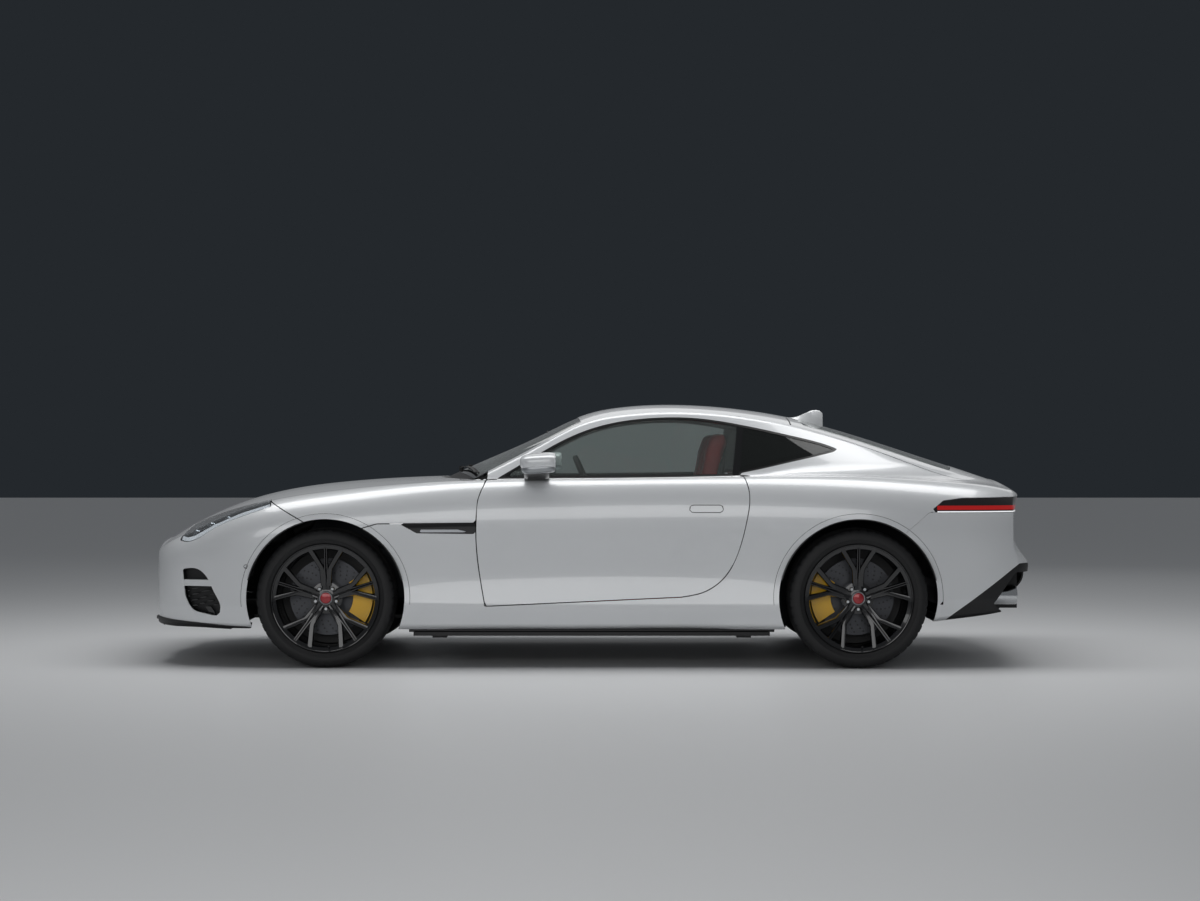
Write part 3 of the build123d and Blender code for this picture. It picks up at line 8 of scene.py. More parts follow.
import bpy
import bmesh
import numpy as np
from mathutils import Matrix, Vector


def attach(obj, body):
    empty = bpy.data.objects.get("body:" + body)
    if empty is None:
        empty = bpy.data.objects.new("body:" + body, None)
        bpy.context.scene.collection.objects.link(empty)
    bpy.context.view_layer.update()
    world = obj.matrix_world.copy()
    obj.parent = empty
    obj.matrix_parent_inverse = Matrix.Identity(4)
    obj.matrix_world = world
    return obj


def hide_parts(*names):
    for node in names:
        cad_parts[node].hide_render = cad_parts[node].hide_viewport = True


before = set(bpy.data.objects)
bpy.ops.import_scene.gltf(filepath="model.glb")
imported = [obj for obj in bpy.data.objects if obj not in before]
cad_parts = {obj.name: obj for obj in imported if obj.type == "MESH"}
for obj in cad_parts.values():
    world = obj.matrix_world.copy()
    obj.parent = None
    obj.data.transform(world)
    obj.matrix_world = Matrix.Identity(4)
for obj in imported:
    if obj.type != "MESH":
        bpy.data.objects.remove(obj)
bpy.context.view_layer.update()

FRONT_AXLE = 1.309
REAR_AXLE = -1.313
TAIL = -2.241
HUB_Z = 0.343
ARCH_R = 0.391
SHUT = 0.005


# Materials


def linear(hex_colour):
    """An sRGB hex colour as linear RGBA."""
    parts = [int(hex_colour[i:i + 2], 16) / 255 for i in (1, 3, 5)]
    return [c / 12.92 if c <= 0.04045 else ((c + 0.055) / 1.055) ** 2.4 for c in parts] + [1.0]


def node(tree, kind, **settings):
    """Add a shader node, with its properties and its input sockets set by name."""
    made = tree.nodes.new(kind)
    for key, value in settings.items():
        if hasattr(made, key):
            setattr(made, key, value)
        else:
            made.inputs[key.replace("_", " ")].default_value = value
    return made


def material(name, colour, rough, metal=0.0, coat=0.0, **more):
    made = bpy.data.materials.new(name)
    made.use_nodes = True
    shader = made.node_tree.nodes["Principled BSDF"]
    shader.inputs["Base Color"].default_value = linear(colour)
    shader.inputs["Roughness"].default_value = rough
    shader.inputs["Metallic"].default_value = metal
    shader.inputs["Coat Weight"].default_value = coat
    shader.inputs["Coat Roughness"].default_value = 0.03
    for key, value in more.items():
        shader.inputs[key.replace("_", " ")].default_value = value
    return made


def grain(made, scale, strength, distance=0.001, detail=3.0):
    """Give a material a fine bumpy surface."""
    tree = made.node_tree
    shader = tree.nodes["Principled BSDF"]
    place = node(tree, "ShaderNodeTexCoord")
    noise = node(tree, "ShaderNodeTexNoise", Scale=scale, Detail=detail)
    bump = node(tree, "ShaderNodeBump", Strength=strength, Distance=distance)
    tree.links.new(place.outputs["Object"], noise.inputs["Vector"])
    tree.links.new(noise.outputs["Fac"], bump.inputs["Height"])
    tree.links.new(bump.outputs["Normal"], shader.inputs["Normal"])
    return made


PAINT = material("white_paint", "#dcdee0", 0.34, 0.15, 1.0)
GLOSS_BLACK = material("gloss_black", "#0b0b0d", 0.12, 0.0, 0.6)
SATIN_BLACK = grain(material("satin_black", "#131315", 0.5), 900, 0.15)
TRIM = material("black_trim", "#0d0d0e", 0.35)
RUBBER = grain(material("rubber", "#0d0d0f", 0.62), 500, 0.2)
GLASS = material("tinted_glass", "#dbe3e0", 0.02, 0.0, 0.0, Transmission_Weight=0.96, IOR=1.45,
                 Specular_IOR_Level=0.3)
DARK_GLASS = material("privacy_glass", "#4b514f", 0.02, 0.0, 0.0, Transmission_Weight=0.9, IOR=1.45,
                      Specular_IOR_Level=0.3)
LENS = material("clear_lens", "#c9ced2", 0.02, 0.0, 0.0, Transmission_Weight=0.95, IOR=1.4)
RED_LENS = material("red_lens", "#7d0b0d", 0.08, 0.0, 0.6, Emission_Color=linear("#d01510"),
                    Emission_Strength=0.35)
SMOKE = material("smoked_lens", "#120c0d", 0.05, 0.0, 0.8)
CHROME = material("bright_metal", "#d5d7d9", 0.14, 1.0)
SILVER = material("satin_silver", "#a7aaad", 0.3, 1.0)
STEEL = material("machined_steel", "#8b8c8e", 0.32, 1.0)
DISC_IRON = material("disc_iron", "#4a4b4e", 0.38, 1.0)
DARK_METAL = material("dark_cast", "#3a3c3f", 0.5, 0.8)
PALE_SILVER = material("pale_silver", "#c9ccd0", 0.5, 0.1)
YELLOW = material("caliper_yellow", "#ffc40c", 0.3, 0.0, 0.6)
RIM_BLACK = material("rim_black", "#0e0e11", 0.16, 0.3, 0.8)
RED_LEATHER = grain(material("red_leather", "#c0151c", 0.48), 700, 0.25)
BLACK_LEATHER = grain(material("black_leather", "#141415", 0.55), 700, 0.3)
CARPET = grain(material("carpet", "#17171a", 0.95), 1500, 0.5)
LAMP_WHITE = material("lamp_white", "#f4f6f8", 0.2, 0.0, 0.3, Emission_Color=linear("#f4f6f8"),
                      Emission_Strength=0.6)
CAP_RED = material("cap_red", "#9c1420", 0.25, 0.2, 0.6)


# The outer skin: the same sections as the CAD model, run through smooth curves


def natural_spline(knots_x, knots_y):
    """A natural cubic curve through points in rising x, as a function."""
    x = np.array(knots_x, float)
    y = np.array(knots_y, float)
    n = len(x)
    h = np.diff(x)
    a = np.zeros((n, n))
    b = np.zeros(n)
    a[0, 0] = a[-1, -1] = 1.0
    for i in range(1, n - 1):
        a[i, i - 1:i + 2] = h[i - 1], 2 * (h[i - 1] + h[i]), h[i]
        b[i] = 6 * ((y[i + 1] - y[i]) / h[i] - (y[i] - y[i - 1]) / h[i - 1])
    m = np.linalg.solve(a, b)

    def curve(at):
        at = np.asarray(at, float)
        i = np.clip(np.searchsorted(x, at) - 1, 0, n - 2)
        t = at - x[i]
        slope = (y[i + 1] - y[i]) / h[i] - h[i] * (2 * m[i] + m[i + 1]) / 6
        return y[i] + slope * t + m[i] / 2 * t ** 2 + (m[i + 1] - m[i]) / (6 * h[i]) * t ** 3

    return curve


# x, crown z, crest y z, widest y z, waist y z, sill lip y z, foot y z
BODY_ROWS = [
    (2.237, 0.580, 0.430, 0.548, 0.480, 0.470, 0.478, 0.390, 0.468, 0.290, 0.448, 0.215),
    (2.166, 0.632, 0.565, 0.588, 0.655, 0.490, 0.650, 0.390, 0.638, 0.290, 0.615, 0.205),
    (1.999, 0.730, 0.670, 0.672, 0.812, 0.545, 0.806, 0.400, 0.796, 0.290, 0.775, 0.200),
    (1.749, 0.828, 0.730, 0.778, 0.893, 0.615, 0.888, 0.450, 0.882, 0.300, 0.864, 0.195),
    (1.309, 0.905, 0.745, 0.868, 0.932, 0.690, 0.928, 0.500, 0.928, 0.310, 0.915, 0.192),
    (0.799, 0.935, 0.775, 0.912, 0.918, 0.705, 0.896, 0.500, 0.908, 0.308, 0.888, 0.190),
    (-0.002, 0.938, 0.800, 0.928, 0.905, 0.715, 0.880, 0.500, 0.902, 0.305, 0.880, 0.190),
    (-0.703, 0.948, 0.800, 0.938, 0.915, 0.725, 0.890, 0.500, 0.908, 0.303, 0.886, 0.190),
    (-1.313, 0.968, 0.790, 0.942, 0.961, 0.725, 0.950, 0.500, 0.950, 0.310, 0.938, 0.200),
    (-1.803, 0.940, 0.728, 0.914, 0.928, 0.705, 0.914, 0.480, 0.902, 0.330, 0.874, 0.240),
    (-2.103, 0.895, 0.650, 0.872, 0.842, 0.660, 0.834, 0.470, 0.824, 0.350, 0.790, 0.285),
    (-2.241, 0.850, 0.585, 0.826, 0.720, 0.610, 0.716, 0.480, 0.706, 0.400, 0.666, 0.320),
]
# x, roof z, cant-rail y z, side-glass y z, buried foot y z
ROOF_ROWS = [
    (0.764, 0.934, 0.752, 0.836, 0.775, 0.800, 0.790, 0.770),
    (0.569, 1.020, 0.722, 0.932, 0.752, 0.880, 0.790, 0.780),
    (0.280, 1.148, 0.662, 1.080, 0.705, 1.000, 0.800, 0.780),
    (0.039, 1.258, 0.602, 1.205, 0.676, 1.065, 0.805, 0.780),
    (-0.162, 1.299, 0.588, 1.248, 0.668, 1.090, 0.806, 0.780),
    (-0.450, 1.311, 0.580, 1.262, 0.664, 1.098, 0.806, 0.780),
    (-0.747, 1.291, 0.570, 1.240, 0.656, 1.095, 0.808, 0.780),
    (-1.047, 1.243, 0.552, 1.184, 0.636, 1.080, 0.806, 0.780),
    (-1.373, 1.156, 0.526, 1.092, 0.612, 1.020, 0.772, 0.790),
    (-1.713, 1.046, 0.506, 0.985, 0.584, 0.940, 0.690, 0.800),
    (-2.013, 0.946, 0.500, 0.900, 0.560, 0.868, 0.630, 0.790),
    (-2.201, 0.880, 0.496, 0.846, 0.540, 0.826, 0.590, 0.770),
]
body_curves = [natural_spline([r[0] for r in BODY_ROWS[::-1]], [r[k] for r in BODY_ROWS[::-1]])
               for k in range(1, 12)]
roof_curves = [natural_spline([r[0] for r in ROOF_ROWS[::-1]], [r[k] for r in ROOF_ROWS[::-1]])
               for k in range(1, 8)]


def along(points, lengths, at):
    """Points of a polyline at given lengths along it."""
    return np.stack([np.interp(at, lengths, points[:, k]) for k in range(2)], axis=1)


def run_lengths(points):
    return np.concatenate([[0.0], np.cumsum(np.hypot(*np.diff(points, axis=0).T))])


def blend_size(x):
    """How far the fillet between greenhouse and shoulder reaches: tight at the doors, wide behind."""
    return float(np.interp(x, [-2.3, -1.9, -1.35, -1.0, -0.85, 0.5, 0.9],
                           [0.05, 0.09, 0.11, 0.05, 0.012, 0.006, 0.004]))


RUNS = (34, 26, 14, 20, 12, 12, 4, 8)


def ring(x):
    """Half cross-section from roof to floor centre, and each point's length above the belt junction."""
    zt, yc, zc, yw, zw, ya, za, yl, zl, yf, zf = [float(c(x)) for c in body_curves]
    crown_y = np.linspace(0, yc, 160)
    crown = np.stack([crown_y, zt - (zt - zc) * (crown_y / yc) ** 2], axis=1)
    green = None
    if x < 0.7639:
        rt, cy, cz, sy, sz, fy, fz = [float(c(max(x, -2.201))) for c in roof_curves]
        roof_y = np.linspace(0, cy, 150)
        roof = np.stack([roof_y, rt - (rt - cz) * (roof_y / cy) ** 2], axis=1)
        t = np.linspace(0, 1, 150)[1:, None]
        cant, side, foot = np.array([cy, cz]), np.array([sy, sz]), np.array([fy, fz])
        ts = np.hypot(*(side - cant)) / (np.hypot(*(side - cant)) + np.hypot(*(foot - side)))
        wall = (cant * (t - ts) * (t - 1) / ts + side * t * (t - 1) / (ts * (ts - 1))
                + foot * t * (t - ts) / (1 - ts))
        green = np.concatenate([roof, wall])
        height = green[:, 1] - (zt - (zt - zc) * (green[:, 0] / yc) ** 2)
        below = np.nonzero(height < 0)[0]
        if len(below) == 0 or below[0] == 0:
            green = None
        else:
            i = below[0]
            f = height[i - 1] / (height[i - 1] - height[i])
            joint = green[i - 1] + f * (green[i] - green[i - 1])
            green = np.concatenate([green[:i], joint[None]])
            cant_length = run_lengths(roof)[-1]
    if green is None:
        yj = yc * float(np.interp(x, [0.764, 0.95], [0.02, 0.55])) if x > 0 else yc * 0.6
        keep = crown_y < yj
        joint = np.array([yj, zt - (zt - zc) * (yj / yc) ** 2])
        green = np.concatenate([crown[keep], joint[None]])
        cant_length = 1e9
    rest = crown[crown[:, 0] > joint[0] + 1e-6]
    top = np.concatenate([green, rest]) if len(rest) else np.concatenate([green, np.array([[yc, zc]])])
    s = run_lengths(top)
    sj = run_lengths(green)[-1]
    reach = min(blend_size(x), 0.8 * sj, 0.8 * (s[-1] - sj))
    if reach > 1e-4 and cant_length < 1e8:
        a, b = along(top, s, np.array([sj - reach, sj + reach]))
        u = np.linspace(0, 1, 40)[:, None]
        fillet = a * (1 - u) ** 2 + 2 * joint * u * (1 - u) + b * u ** 2
        top = np.concatenate([top[s < sj - reach], fillet, top[s > sj + reach]])
        s_new = run_lengths(top)
        sj = sj * s_new[-1] / s[-1]
        s = s_new
    knee = min(cant_length, 0.75 * sj)
    at = np.concatenate([
        np.linspace(0, knee, RUNS[0] + 1)[:-1],
        np.linspace(knee, sj, RUNS[1] + 1)[:-1],
        np.linspace(sj, s[-1], RUNS[2] + 1)[:-1],
    ])
    upper = along(top, s, at)
    q = np.linspace(0, math.pi / 2, RUNS[3] + 1)[:-1]
    power = 2 / 2.15
    shoulder = np.stack([yc + (yw - yc) * np.sin(q) ** power, zw + (zc - zw) * np.cos(q) ** power], axis=1)
    flank_curve = natural_spline([zl, za, zw, zw + 0.06], [yl, ya, yw, yw - 0.004])
    z_low = np.concatenate([np.linspace(zw, za, RUNS[4] + 1)[:-1], np.linspace(za, zl, RUNS[5] + 1)[:-1]])
    flank = np.stack([flank_curve(z_low), z_low], axis=1)
    under = np.stack([np.linspace(yl, yf, RUNS[6] + 1)[:-1], np.linspace(zl, zf, RUNS[6] + 1)[:-1]], axis=1)
    floor = np.stack([np.linspace(yf, 0, RUNS[7] + 1), np.full(RUNS[7] + 1, zf)], axis=1)
    points = np.concatenate([upper, shoulder, flank, under, floor])
    start = sj if cant_length < 1e8 else 0.0
    belt = np.concatenate([start - at, start - s[-1] - run_lengths(points[len(at):]) - 0.01])
    return points, belt


NOSE_START = 2.185
TAIL_START = -2.085
TAIL_PROFILE = [
    (0.240, 2.140), (0.312, 2.150), (0.399, 2.225), (0.470, 2.238), (0.513, 2.238), (0.560, 2.205),
    (0.600, 2.180),
    (0.659, 2.165), (0.740, 2.172), (0.822, 2.184), (0.862, 2.190), (0.884, 2.170), (0.92, 2.14),
]
tail_face = natural_spline([p[0] for p in TAIL_PROFILE], [-p[1] for p in TAIL_PROFILE])


def cap(points, x_from, face, centre_z, count):
    """Rings that close an end: the last section shrinks to its middle while it turns onto the end face."""
    rows = []
    for k in range(1, count + 1):
        s = 1 - (k / count) ** 1.35
        ring_points = np.stack([points[:, 0] * s, centre_z + (points[:, 1] - centre_z) * s], axis=1)
        turn = min(1.0, (1 - s) / 0.16)
        share = math.sqrt(max(0.0, 1 - (1 - turn) ** 2))
        x = x_from + (face(ring_points[:, 0], ring_points[:, 1]) - x_from) * share
        rows.append(np.stack([x, ring_points[:, 0], ring_points[:, 1]], axis=1))
    return rows


def nose_face(y, z):
    return 2.239 - 0.105 * np.clip(0.57 - z, -0.02, 0.5) - 0.16 * y ** 2


def rear_face(y, z):
    return tail_face(np.clip(z, 0.24, 0.92)) + 0.11 * y ** 2


def build_skin():
    """The left half of the skin as a grid: vertices, belt lengths and quads."""
    stations = np.concatenate([np.linspace(NOSE_START, 1.9, 34)[:-1], np.linspace(1.9, TAIL_START, 372)])
    rows, belts = [], []
    for x in stations:
        points, belt = ring(float(x))
        rows.append(np.column_stack([np.full(len(points), x), points]))
        belts.append(belt)
    front = cap(rows[0][:, 1:], NOSE_START, nose_face, 0.40, 34)
    back = cap(rows[-1][:, 1:], TAIL_START, rear_face, 0.60, 44)
    grid = front[::-1] + rows + back
    belts = [belts[0]] * len(front) + belts + [belts[-1]] * len(back)
    v = np.array(grid)
    n_rows, n_cols = v.shape[:2]
    ids = np.arange(n_rows * n_cols).reshape(n_rows, n_cols)
    quads = np.stack([ids[:-1, :-1], ids[:-1, 1:], ids[1:, 1:], ids[1:, :-1]], axis=-1).reshape(-1, 4)
    du = np.gradient(v, axis=0)
    dv = np.gradient(v, axis=1)
    normal = np.cross(dv, du)
    normal /= np.maximum(np.linalg.norm(normal, axis=2, keepdims=True), 1e-12)
    normal[:, 0, 1] = 0
    return v.reshape(-1, 3), normal.reshape(-1, 3), np.concatenate(belts), quads


skin_v, skin_n, skin_belt, skin_f = build_skin()


# Cutting the skin into panels along outlines drawn in side view or plan


class Patch:
    """A piece of surface: vertices with normals and belt lengths, and faces as lists of vertex numbers."""

    def __init__(self, v, n, belt, faces):
        self.v, self.n, self.belt, self.faces = v, n, belt, faces

    def clip(self, value):
        """The part of the patch where a value given at each vertex is negative."""
        inside = value < 0
        state = inside.tolist()
        faces, fresh, made = [], [], {}
        for f in self.faces:
            flags = [state[i] for i in f]
            if all(flags):
                faces.append(f)
            elif any(flags):
                loop = []
                for a, b in zip(f, f[1:] + f[:1]):
                    if state[a]:
                        loop.append(a)
                    if state[a] != state[b]:
                        key = (a, b) if a < b else (b, a)
                        if key not in made:
                            made[key] = len(self.v) + len(fresh)
                            fresh.append(key)
                        loop.append(made[key])
                if len(loop) > 2:
                    faces.append(loop)
        v, n, belt = self.v, self.n, self.belt
        if fresh:
            lo, hi = np.array(fresh).T
            t = (value[lo] / (value[lo] - value[hi]))[:, None]
            v = np.concatenate([v, v[lo] + (v[hi] - v[lo]) * t])
            n_new = n[lo] + (n[hi] - n[lo]) * t
            n = np.concatenate([n, n_new / np.maximum(np.linalg.norm(n_new, axis=1, keepdims=True), 1e-9)])
            belt = np.concatenate([belt, belt[lo] + (belt[hi] - belt[lo]) * t[:, 0]])
        used = np.zeros(len(v), bool)
        for f in faces:
            used[f] = True
        new_id = np.cumsum(used) - 1
        ids = new_id.tolist()
        return Patch(v[used], n[used], belt[used], [[ids[i] for i in f] for f in faces])

    def mirrored(self):
        flip = np.array([1, -1, 1])
        return Patch(self.v * flip, self.n * flip, self.belt, [f[::-1] for f in self.faces])

    def joined(self, other):
        k = len(self.v)
        return Patch(
            np.concatenate([self.v, other.v]), np.concatenate([self.n, other.n]),
            np.concatenate([self.belt, other.belt]), self.faces + [[i + k for i in f] for f in other.faces],
        )


def signed_distance(outline, u, w):
    """Distance to a closed outline, negative inside it."""
    p = np.array(outline, float)
    best = np.full(len(u), np.inf)
    inside = np.zeros(len(u), bool)
    for a, b in zip(p, np.roll(p, -1, axis=0)):
        e = b - a
        size = e @ e
        if size < 1e-14:
            continue
        t = np.clip(((u - a[0]) * e[0] + (w - a[1]) * e[1]) / size, 0, 1)
        best = np.minimum(best, np.hypot(u - a[0] - t * e[0], w - a[1] - t * e[1]))
        if a[1] != b[1]:
            crosses = (a[1] > w) != (b[1] > w)
            inside ^= crosses & (u < (b[0] - a[0]) * (w - a[1]) / (b[1] - a[1]) + a[0])
    return np.where(inside, -best, best)


def bend(points, steps=8):
    """A smooth curve through points, as a polyline."""
    p = np.array(points, float)
    s = run_lengths(p)
    at = np.linspace(0, s[-1], (len(p) - 1) * steps + 1)
    return list(zip(natural_spline(s, p[:, 0])(at), natural_spline(s, p[:, 1])(at)))


DOOR_FRONT = FRONT_AXLE - 0.746
DOOR_REAR = REAR_AXLE + 0.536
HOOD_FRONT = FRONT_AXLE + 0.796
HATCH_FRONT = REAR_AXLE + 0.296
door_front_edge = bend([(DOOR_FRONT - 0.042, 0.306), (DOOR_FRONT - 0.013, 0.472),
                        (DOOR_FRONT + 0.002, 0.66),
                        (DOOR_FRONT, 0.751), (DOOR_FRONT - 0.006, 0.824), (DOOR_FRONT - 0.035, 0.9),
                        (DOOR_FRONT - 0.052, 0.94)])
door_rear_edge = bend([(DOOR_REAR + 0.03, 0.955), (DOOR_REAR + 0.006, 0.89), (DOOR_REAR, 0.822),
                       (DOOR_REAR + 0.012, 0.737),
                       (DOOR_REAR + 0.045, 0.6), (DOOR_REAR + 0.115, 0.455), (DOOR_REAR + 0.215, 0.378),
                       (DOOR_REAR + 0.335, 0.350)])
DOOR = door_front_edge + [(DOOR_FRONT - 0.052, 1.0), (DOOR_REAR + 0.03, 1.0)] + door_rear_edge
hood_edge = bend([(HOOD_FRONT, 0.670), (FRONT_AXLE + 0.541, 0.762), (FRONT_AXLE + 0.291, 0.826)])
HOOD = hood_edge + [
    (FRONT_AXLE + 0.095, 0.716), (FRONT_AXLE + 0.095, 0.6), (FRONT_AXLE - 0.095, 0.6),
    (FRONT_AXLE - 0.180, 0.690),
    (FRONT_AXLE - 0.254, 0.712), (DOOR_FRONT + 0.007, 0.716), (DOOR_FRONT + 0.005, 0.751),
    (DOOR_FRONT - 0.001, 0.824),
    (DOOR_FRONT - 0.013, 0.864), (DOOR_FRONT - 0.030, 0.9), (DOOR_FRONT - 0.040, 0.94),
    (DOOR_FRONT - 0.040, 1.0), (HOOD_FRONT, 1.0),
]
cowl_arc = bend([(DOOR_FRONT - 0.02, -0.738), (FRONT_AXLE - 0.575, -0.42), (FRONT_AXLE - 0.527, 0),
                 (FRONT_AXLE - 0.575, 0.42), (DOOR_FRONT - 0.02, 0.738)])
SCREEN = (bend([(FRONT_AXLE - 1.255, -0.528), (FRONT_AXLE - 1.232, 0), (FRONT_AXLE - 1.255, 0.528)])
          + bend([(FRONT_AXLE - 0.720, 0.690), (FRONT_AXLE - 0.606, 0), (FRONT_AXLE - 0.720, -0.690)]))
dlo_top = bend([
    (DOOR_FRONT - 0.066, 0.915), (0.274, 1.048), (0.152, 1.117), (0.042, 1.166), (-0.083, 1.204),
    (-0.220, 1.227), (-0.358, 1.237), (-0.497, 1.236), (-0.635, 1.221), (-0.769, 1.197),
    (-0.908, 1.168), (-1.045, 1.137), (-1.182, 1.101), (-1.243, 1.078),
])
dlo_rear = bend([(-1.222, 1.063), (-1.1, 1.034), (-0.969, 1.005), (-0.85, 0.978), (-0.745, 0.957)])
DLO = dlo_top + dlo_rear + [(-0.745, 0.90), (DOOR_FRONT - 0.066, 0.88)]
HATCH = [(HATCH_FRONT, 0.512), (REAR_AXLE - 0.2, 0.520), (REAR_AXLE - 0.56, 0.545),
         (REAR_AXLE - 0.8, 0.540), (TAIL - 0.06, 0.47)]
HATCH = HATCH + [(x, -y) for x, y in HATCH[::-1]]
HATCH_GLASS = (bend([(HATCH_FRONT - 0.07, -0.44), (HATCH_FRONT - 0.052, 0), (HATCH_FRONT - 0.07, 0.44)])
               + bend([(REAR_AXLE - 0.52, 0.42), (REAR_AXLE - 0.572, 0), (REAR_AXLE - 0.52, -0.42)]))
LAMP = [(REAR_AXLE - 0.347, 0.768), (REAR_AXLE - 0.419, 0.824), (REAR_AXLE - 0.514, 0.836),
        (TAIL - 0.04, 0.842), (TAIL - 0.04, 0.762)]
REAR_BUMPER = [(REAR_AXLE - 0.2, 0.64), (REAR_AXLE - 0.347, 0.766), (TAIL - 0.04, 0.76),
               (TAIL - 0.04, 0.1), (REAR_AXLE - 0.2, 0.1)]
HEADLAMP = [(x, z + 0.03) for x, z in hood_edge[2:]] + bend([
    (FRONT_AXLE + 0.273, 0.793), (FRONT_AXLE + 0.429, 0.741), (FRONT_AXLE + 0.567, 0.681),
    (FRONT_AXLE + 0.662, 0.626),
    (FRONT_AXLE + 0.70, 0.617), (FRONT_AXLE + 0.744, 0.624)])
INTAKE = bend([(FRONT_AXLE + 0.720, 0.482), (FRONT_AXLE + 0.640, 0.484), (FRONT_AXLE + 0.588, 0.438),
               (FRONT_AXLE + 0.556, 0.372),
               (FRONT_AXLE + 0.522, 0.290), (FRONT_AXLE + 0.530, 0.262), (FRONT_AXLE + 0.600, 0.262),
               (FRONT_AXLE + 0.662, 0.278),
               (FRONT_AXLE + 0.708, 0.350)], 5)
DIFFUSER = [(REAR_AXLE - 0.42, 0.1), (REAR_AXLE - 0.42, 0.226), (TAIL + 0.122, 0.511),
            (TAIL - 0.04, 0.511), (TAIL - 0.04, 0.1)]
VENT = [(0.955, 0.715), (0.569, 0.717), (0.569, 0.659), (0.859, 0.663)]
MOUTH = (bend([(-0.395, 0.512), (0, 0.528), (0.395, 0.512)]) + bend([(0.432, 0.44), (0.388, 0.352)])
         + bend([(0.388, 0.352), (0, 0.336), (-0.388, 0.352)]) + [(-0.432, 0.44)])


def within(p, x=None, y=None, z=None):
    """Negative inside a box given by pairs of limits."""
    worst = np.full(len(p.v), -1e3)
    for k, pair in enumerate((x, y, z)):
        if pair:
            worst = np.maximum(worst, np.maximum(pair[0] - p.v[:, k], p.v[:, k] - pair[1]))
    return worst


# Each of these gives a function of a patch that is negative inside the region


def box(x=None, y=None, z=None):
    return lambda p: within(p, x, y, z)


def drawn(outline, grow=0.0):
    """Inside an outline in side view."""
    return lambda p: signed_distance(outline, p.v[:, 0], p.v[:, 2]) - grow


def planned(outline, grow=0.0):
    """Inside an outline in plan."""
    return lambda p: signed_distance(outline, p.v[:, 0], p.v[:, 1]) - grow


def faced(outline, grow=0.0):
    """Inside an outline in front view."""
    return lambda p: signed_distance(outline, p.v[:, 1], p.v[:, 2]) - grow


def arch(axle, radius=ARCH_R):
    return lambda p: np.hypot(p.v[:, 0] - axle, p.v[:, 2] - HUB_Z) - radius


def below_belt(p):
    return p.belt - 0.001


def above_belt(p):
    return 0.001 - p.belt


def no(*fields):
    """Outside the region that all the given ones share."""
    return lambda p: -np.maximum.reduce([f(p) for f in fields])


def cut(patch, *fields):
    for field in fields:
        patch = patch.clip(field(patch))
    return patch


half = Patch(skin_v, skin_n, skin_belt, skin_f.tolist())


def new_object(name, v, faces, mats, normals=None, face_mats=None):
    mesh = bpy.data.meshes.new(name)
    mesh.from_pydata(np.asarray(v).tolist(), [], faces)
    for m in mats:
        mesh.materials.append(m)
    if face_mats is not None:
        mesh.polygons.foreach_set("material_index", face_mats)
    mesh.polygons.foreach_set("use_smooth", [True] * len(mesh.polygons))
    if normals is not None:
        mesh.normals_split_custom_set_from_vertices(np.asarray(normals).tolist())
    else:
        work = bmesh.new()
        work.from_mesh(mesh)
        bmesh.ops.recalc_face_normals(work, faces=work.faces)
        work.to_mesh(mesh)
        work.free()
        mesh.set_sharp_from_angle(angle=math.radians(32))
    obj = bpy.data.objects.new(name, mesh)
    bpy.context.collection.objects.link(obj)
    return obj


def weld(patch):
    """Join the halves of a patch along the centre line."""
    key, ids, keep = {}, [], []
    for i, p in enumerate(np.round(patch.v, 5).tolist()):
        k = tuple(p)
        if k not in key:
            key[k] = len(keep)
            keep.append(i)
        ids.append(key[k])
    faces = []
    for f in patch.faces:
        loop = []
        for i in f:
            if not loop or ids[i] != loop[-1]:
                loop.append(ids[i])
        if len(loop) > 1 and loop[0] == loop[-1]:
            loop.pop()
        if len(set(loop)) == len(loop) and len(loop) > 2:
            faces.append(loop)
    return Patch(patch.v[keep], patch.n[keep], patch.belt[keep], faces)


def shell(name, patch, body, nodes, mat, depth, inside=None, sunk=0.0, turn_in=None):
    """A panel: the patch as its outer face, a rim turned in all round, and an inner face."""
    patch = weld(patch)
    v = patch.v - patch.n * sunk
    n = patch.n
    inner = turn_in(patch) if turn_in else v - n * depth
    edges = {}
    for f in patch.faces:
        for a, b in zip(f, f[1:] + f[:1]):
            edges[(a, b)] = edges.get((a, b), 0) + 1
    border = [(a, b) for a, b in edges if (b, a) not in edges]
    k = len(v)
    verts = [v, inner]
    normals = [n, -n]
    faces = list(patch.faces) + [[i + k for i in f[::-1]] for f in patch.faces]
    mats = [0] * len(patch.faces) + [1 if inside else 0] * len(patch.faces)
    if border:
        used = sorted({i for e in border for i in e})
        at = {i: j for j, i in enumerate(used)}
        rim_n = np.zeros((len(used), 3))
        for a, b in border:
            out = np.cross(v[b] - v[a], n[a] + n[b])
            rim_n[at[a]] += out
            rim_n[at[b]] += out
        rim_n /= np.maximum(np.linalg.norm(rim_n, axis=1, keepdims=True), 1e-9)
        base = 2 * k
        verts += [v[used], inner[used]]
        normals += [rim_n, rim_n]
        for a, b in border:
            faces.append([base + at[b], base + at[a], base + len(used) + at[a], base + len(used) + at[b]])
            mats.append(0)
    obj = new_object(name, np.concatenate(verts), faces, [mat] + ([inside] if inside else []),
                     np.concatenate(normals), mats)
    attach(obj, body)
    if nodes:
        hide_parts(*nodes)
    return obj


def both(patch):
    return patch.joined(patch.mirrored())


# Solid shapes: turned, swept, padded and repeated


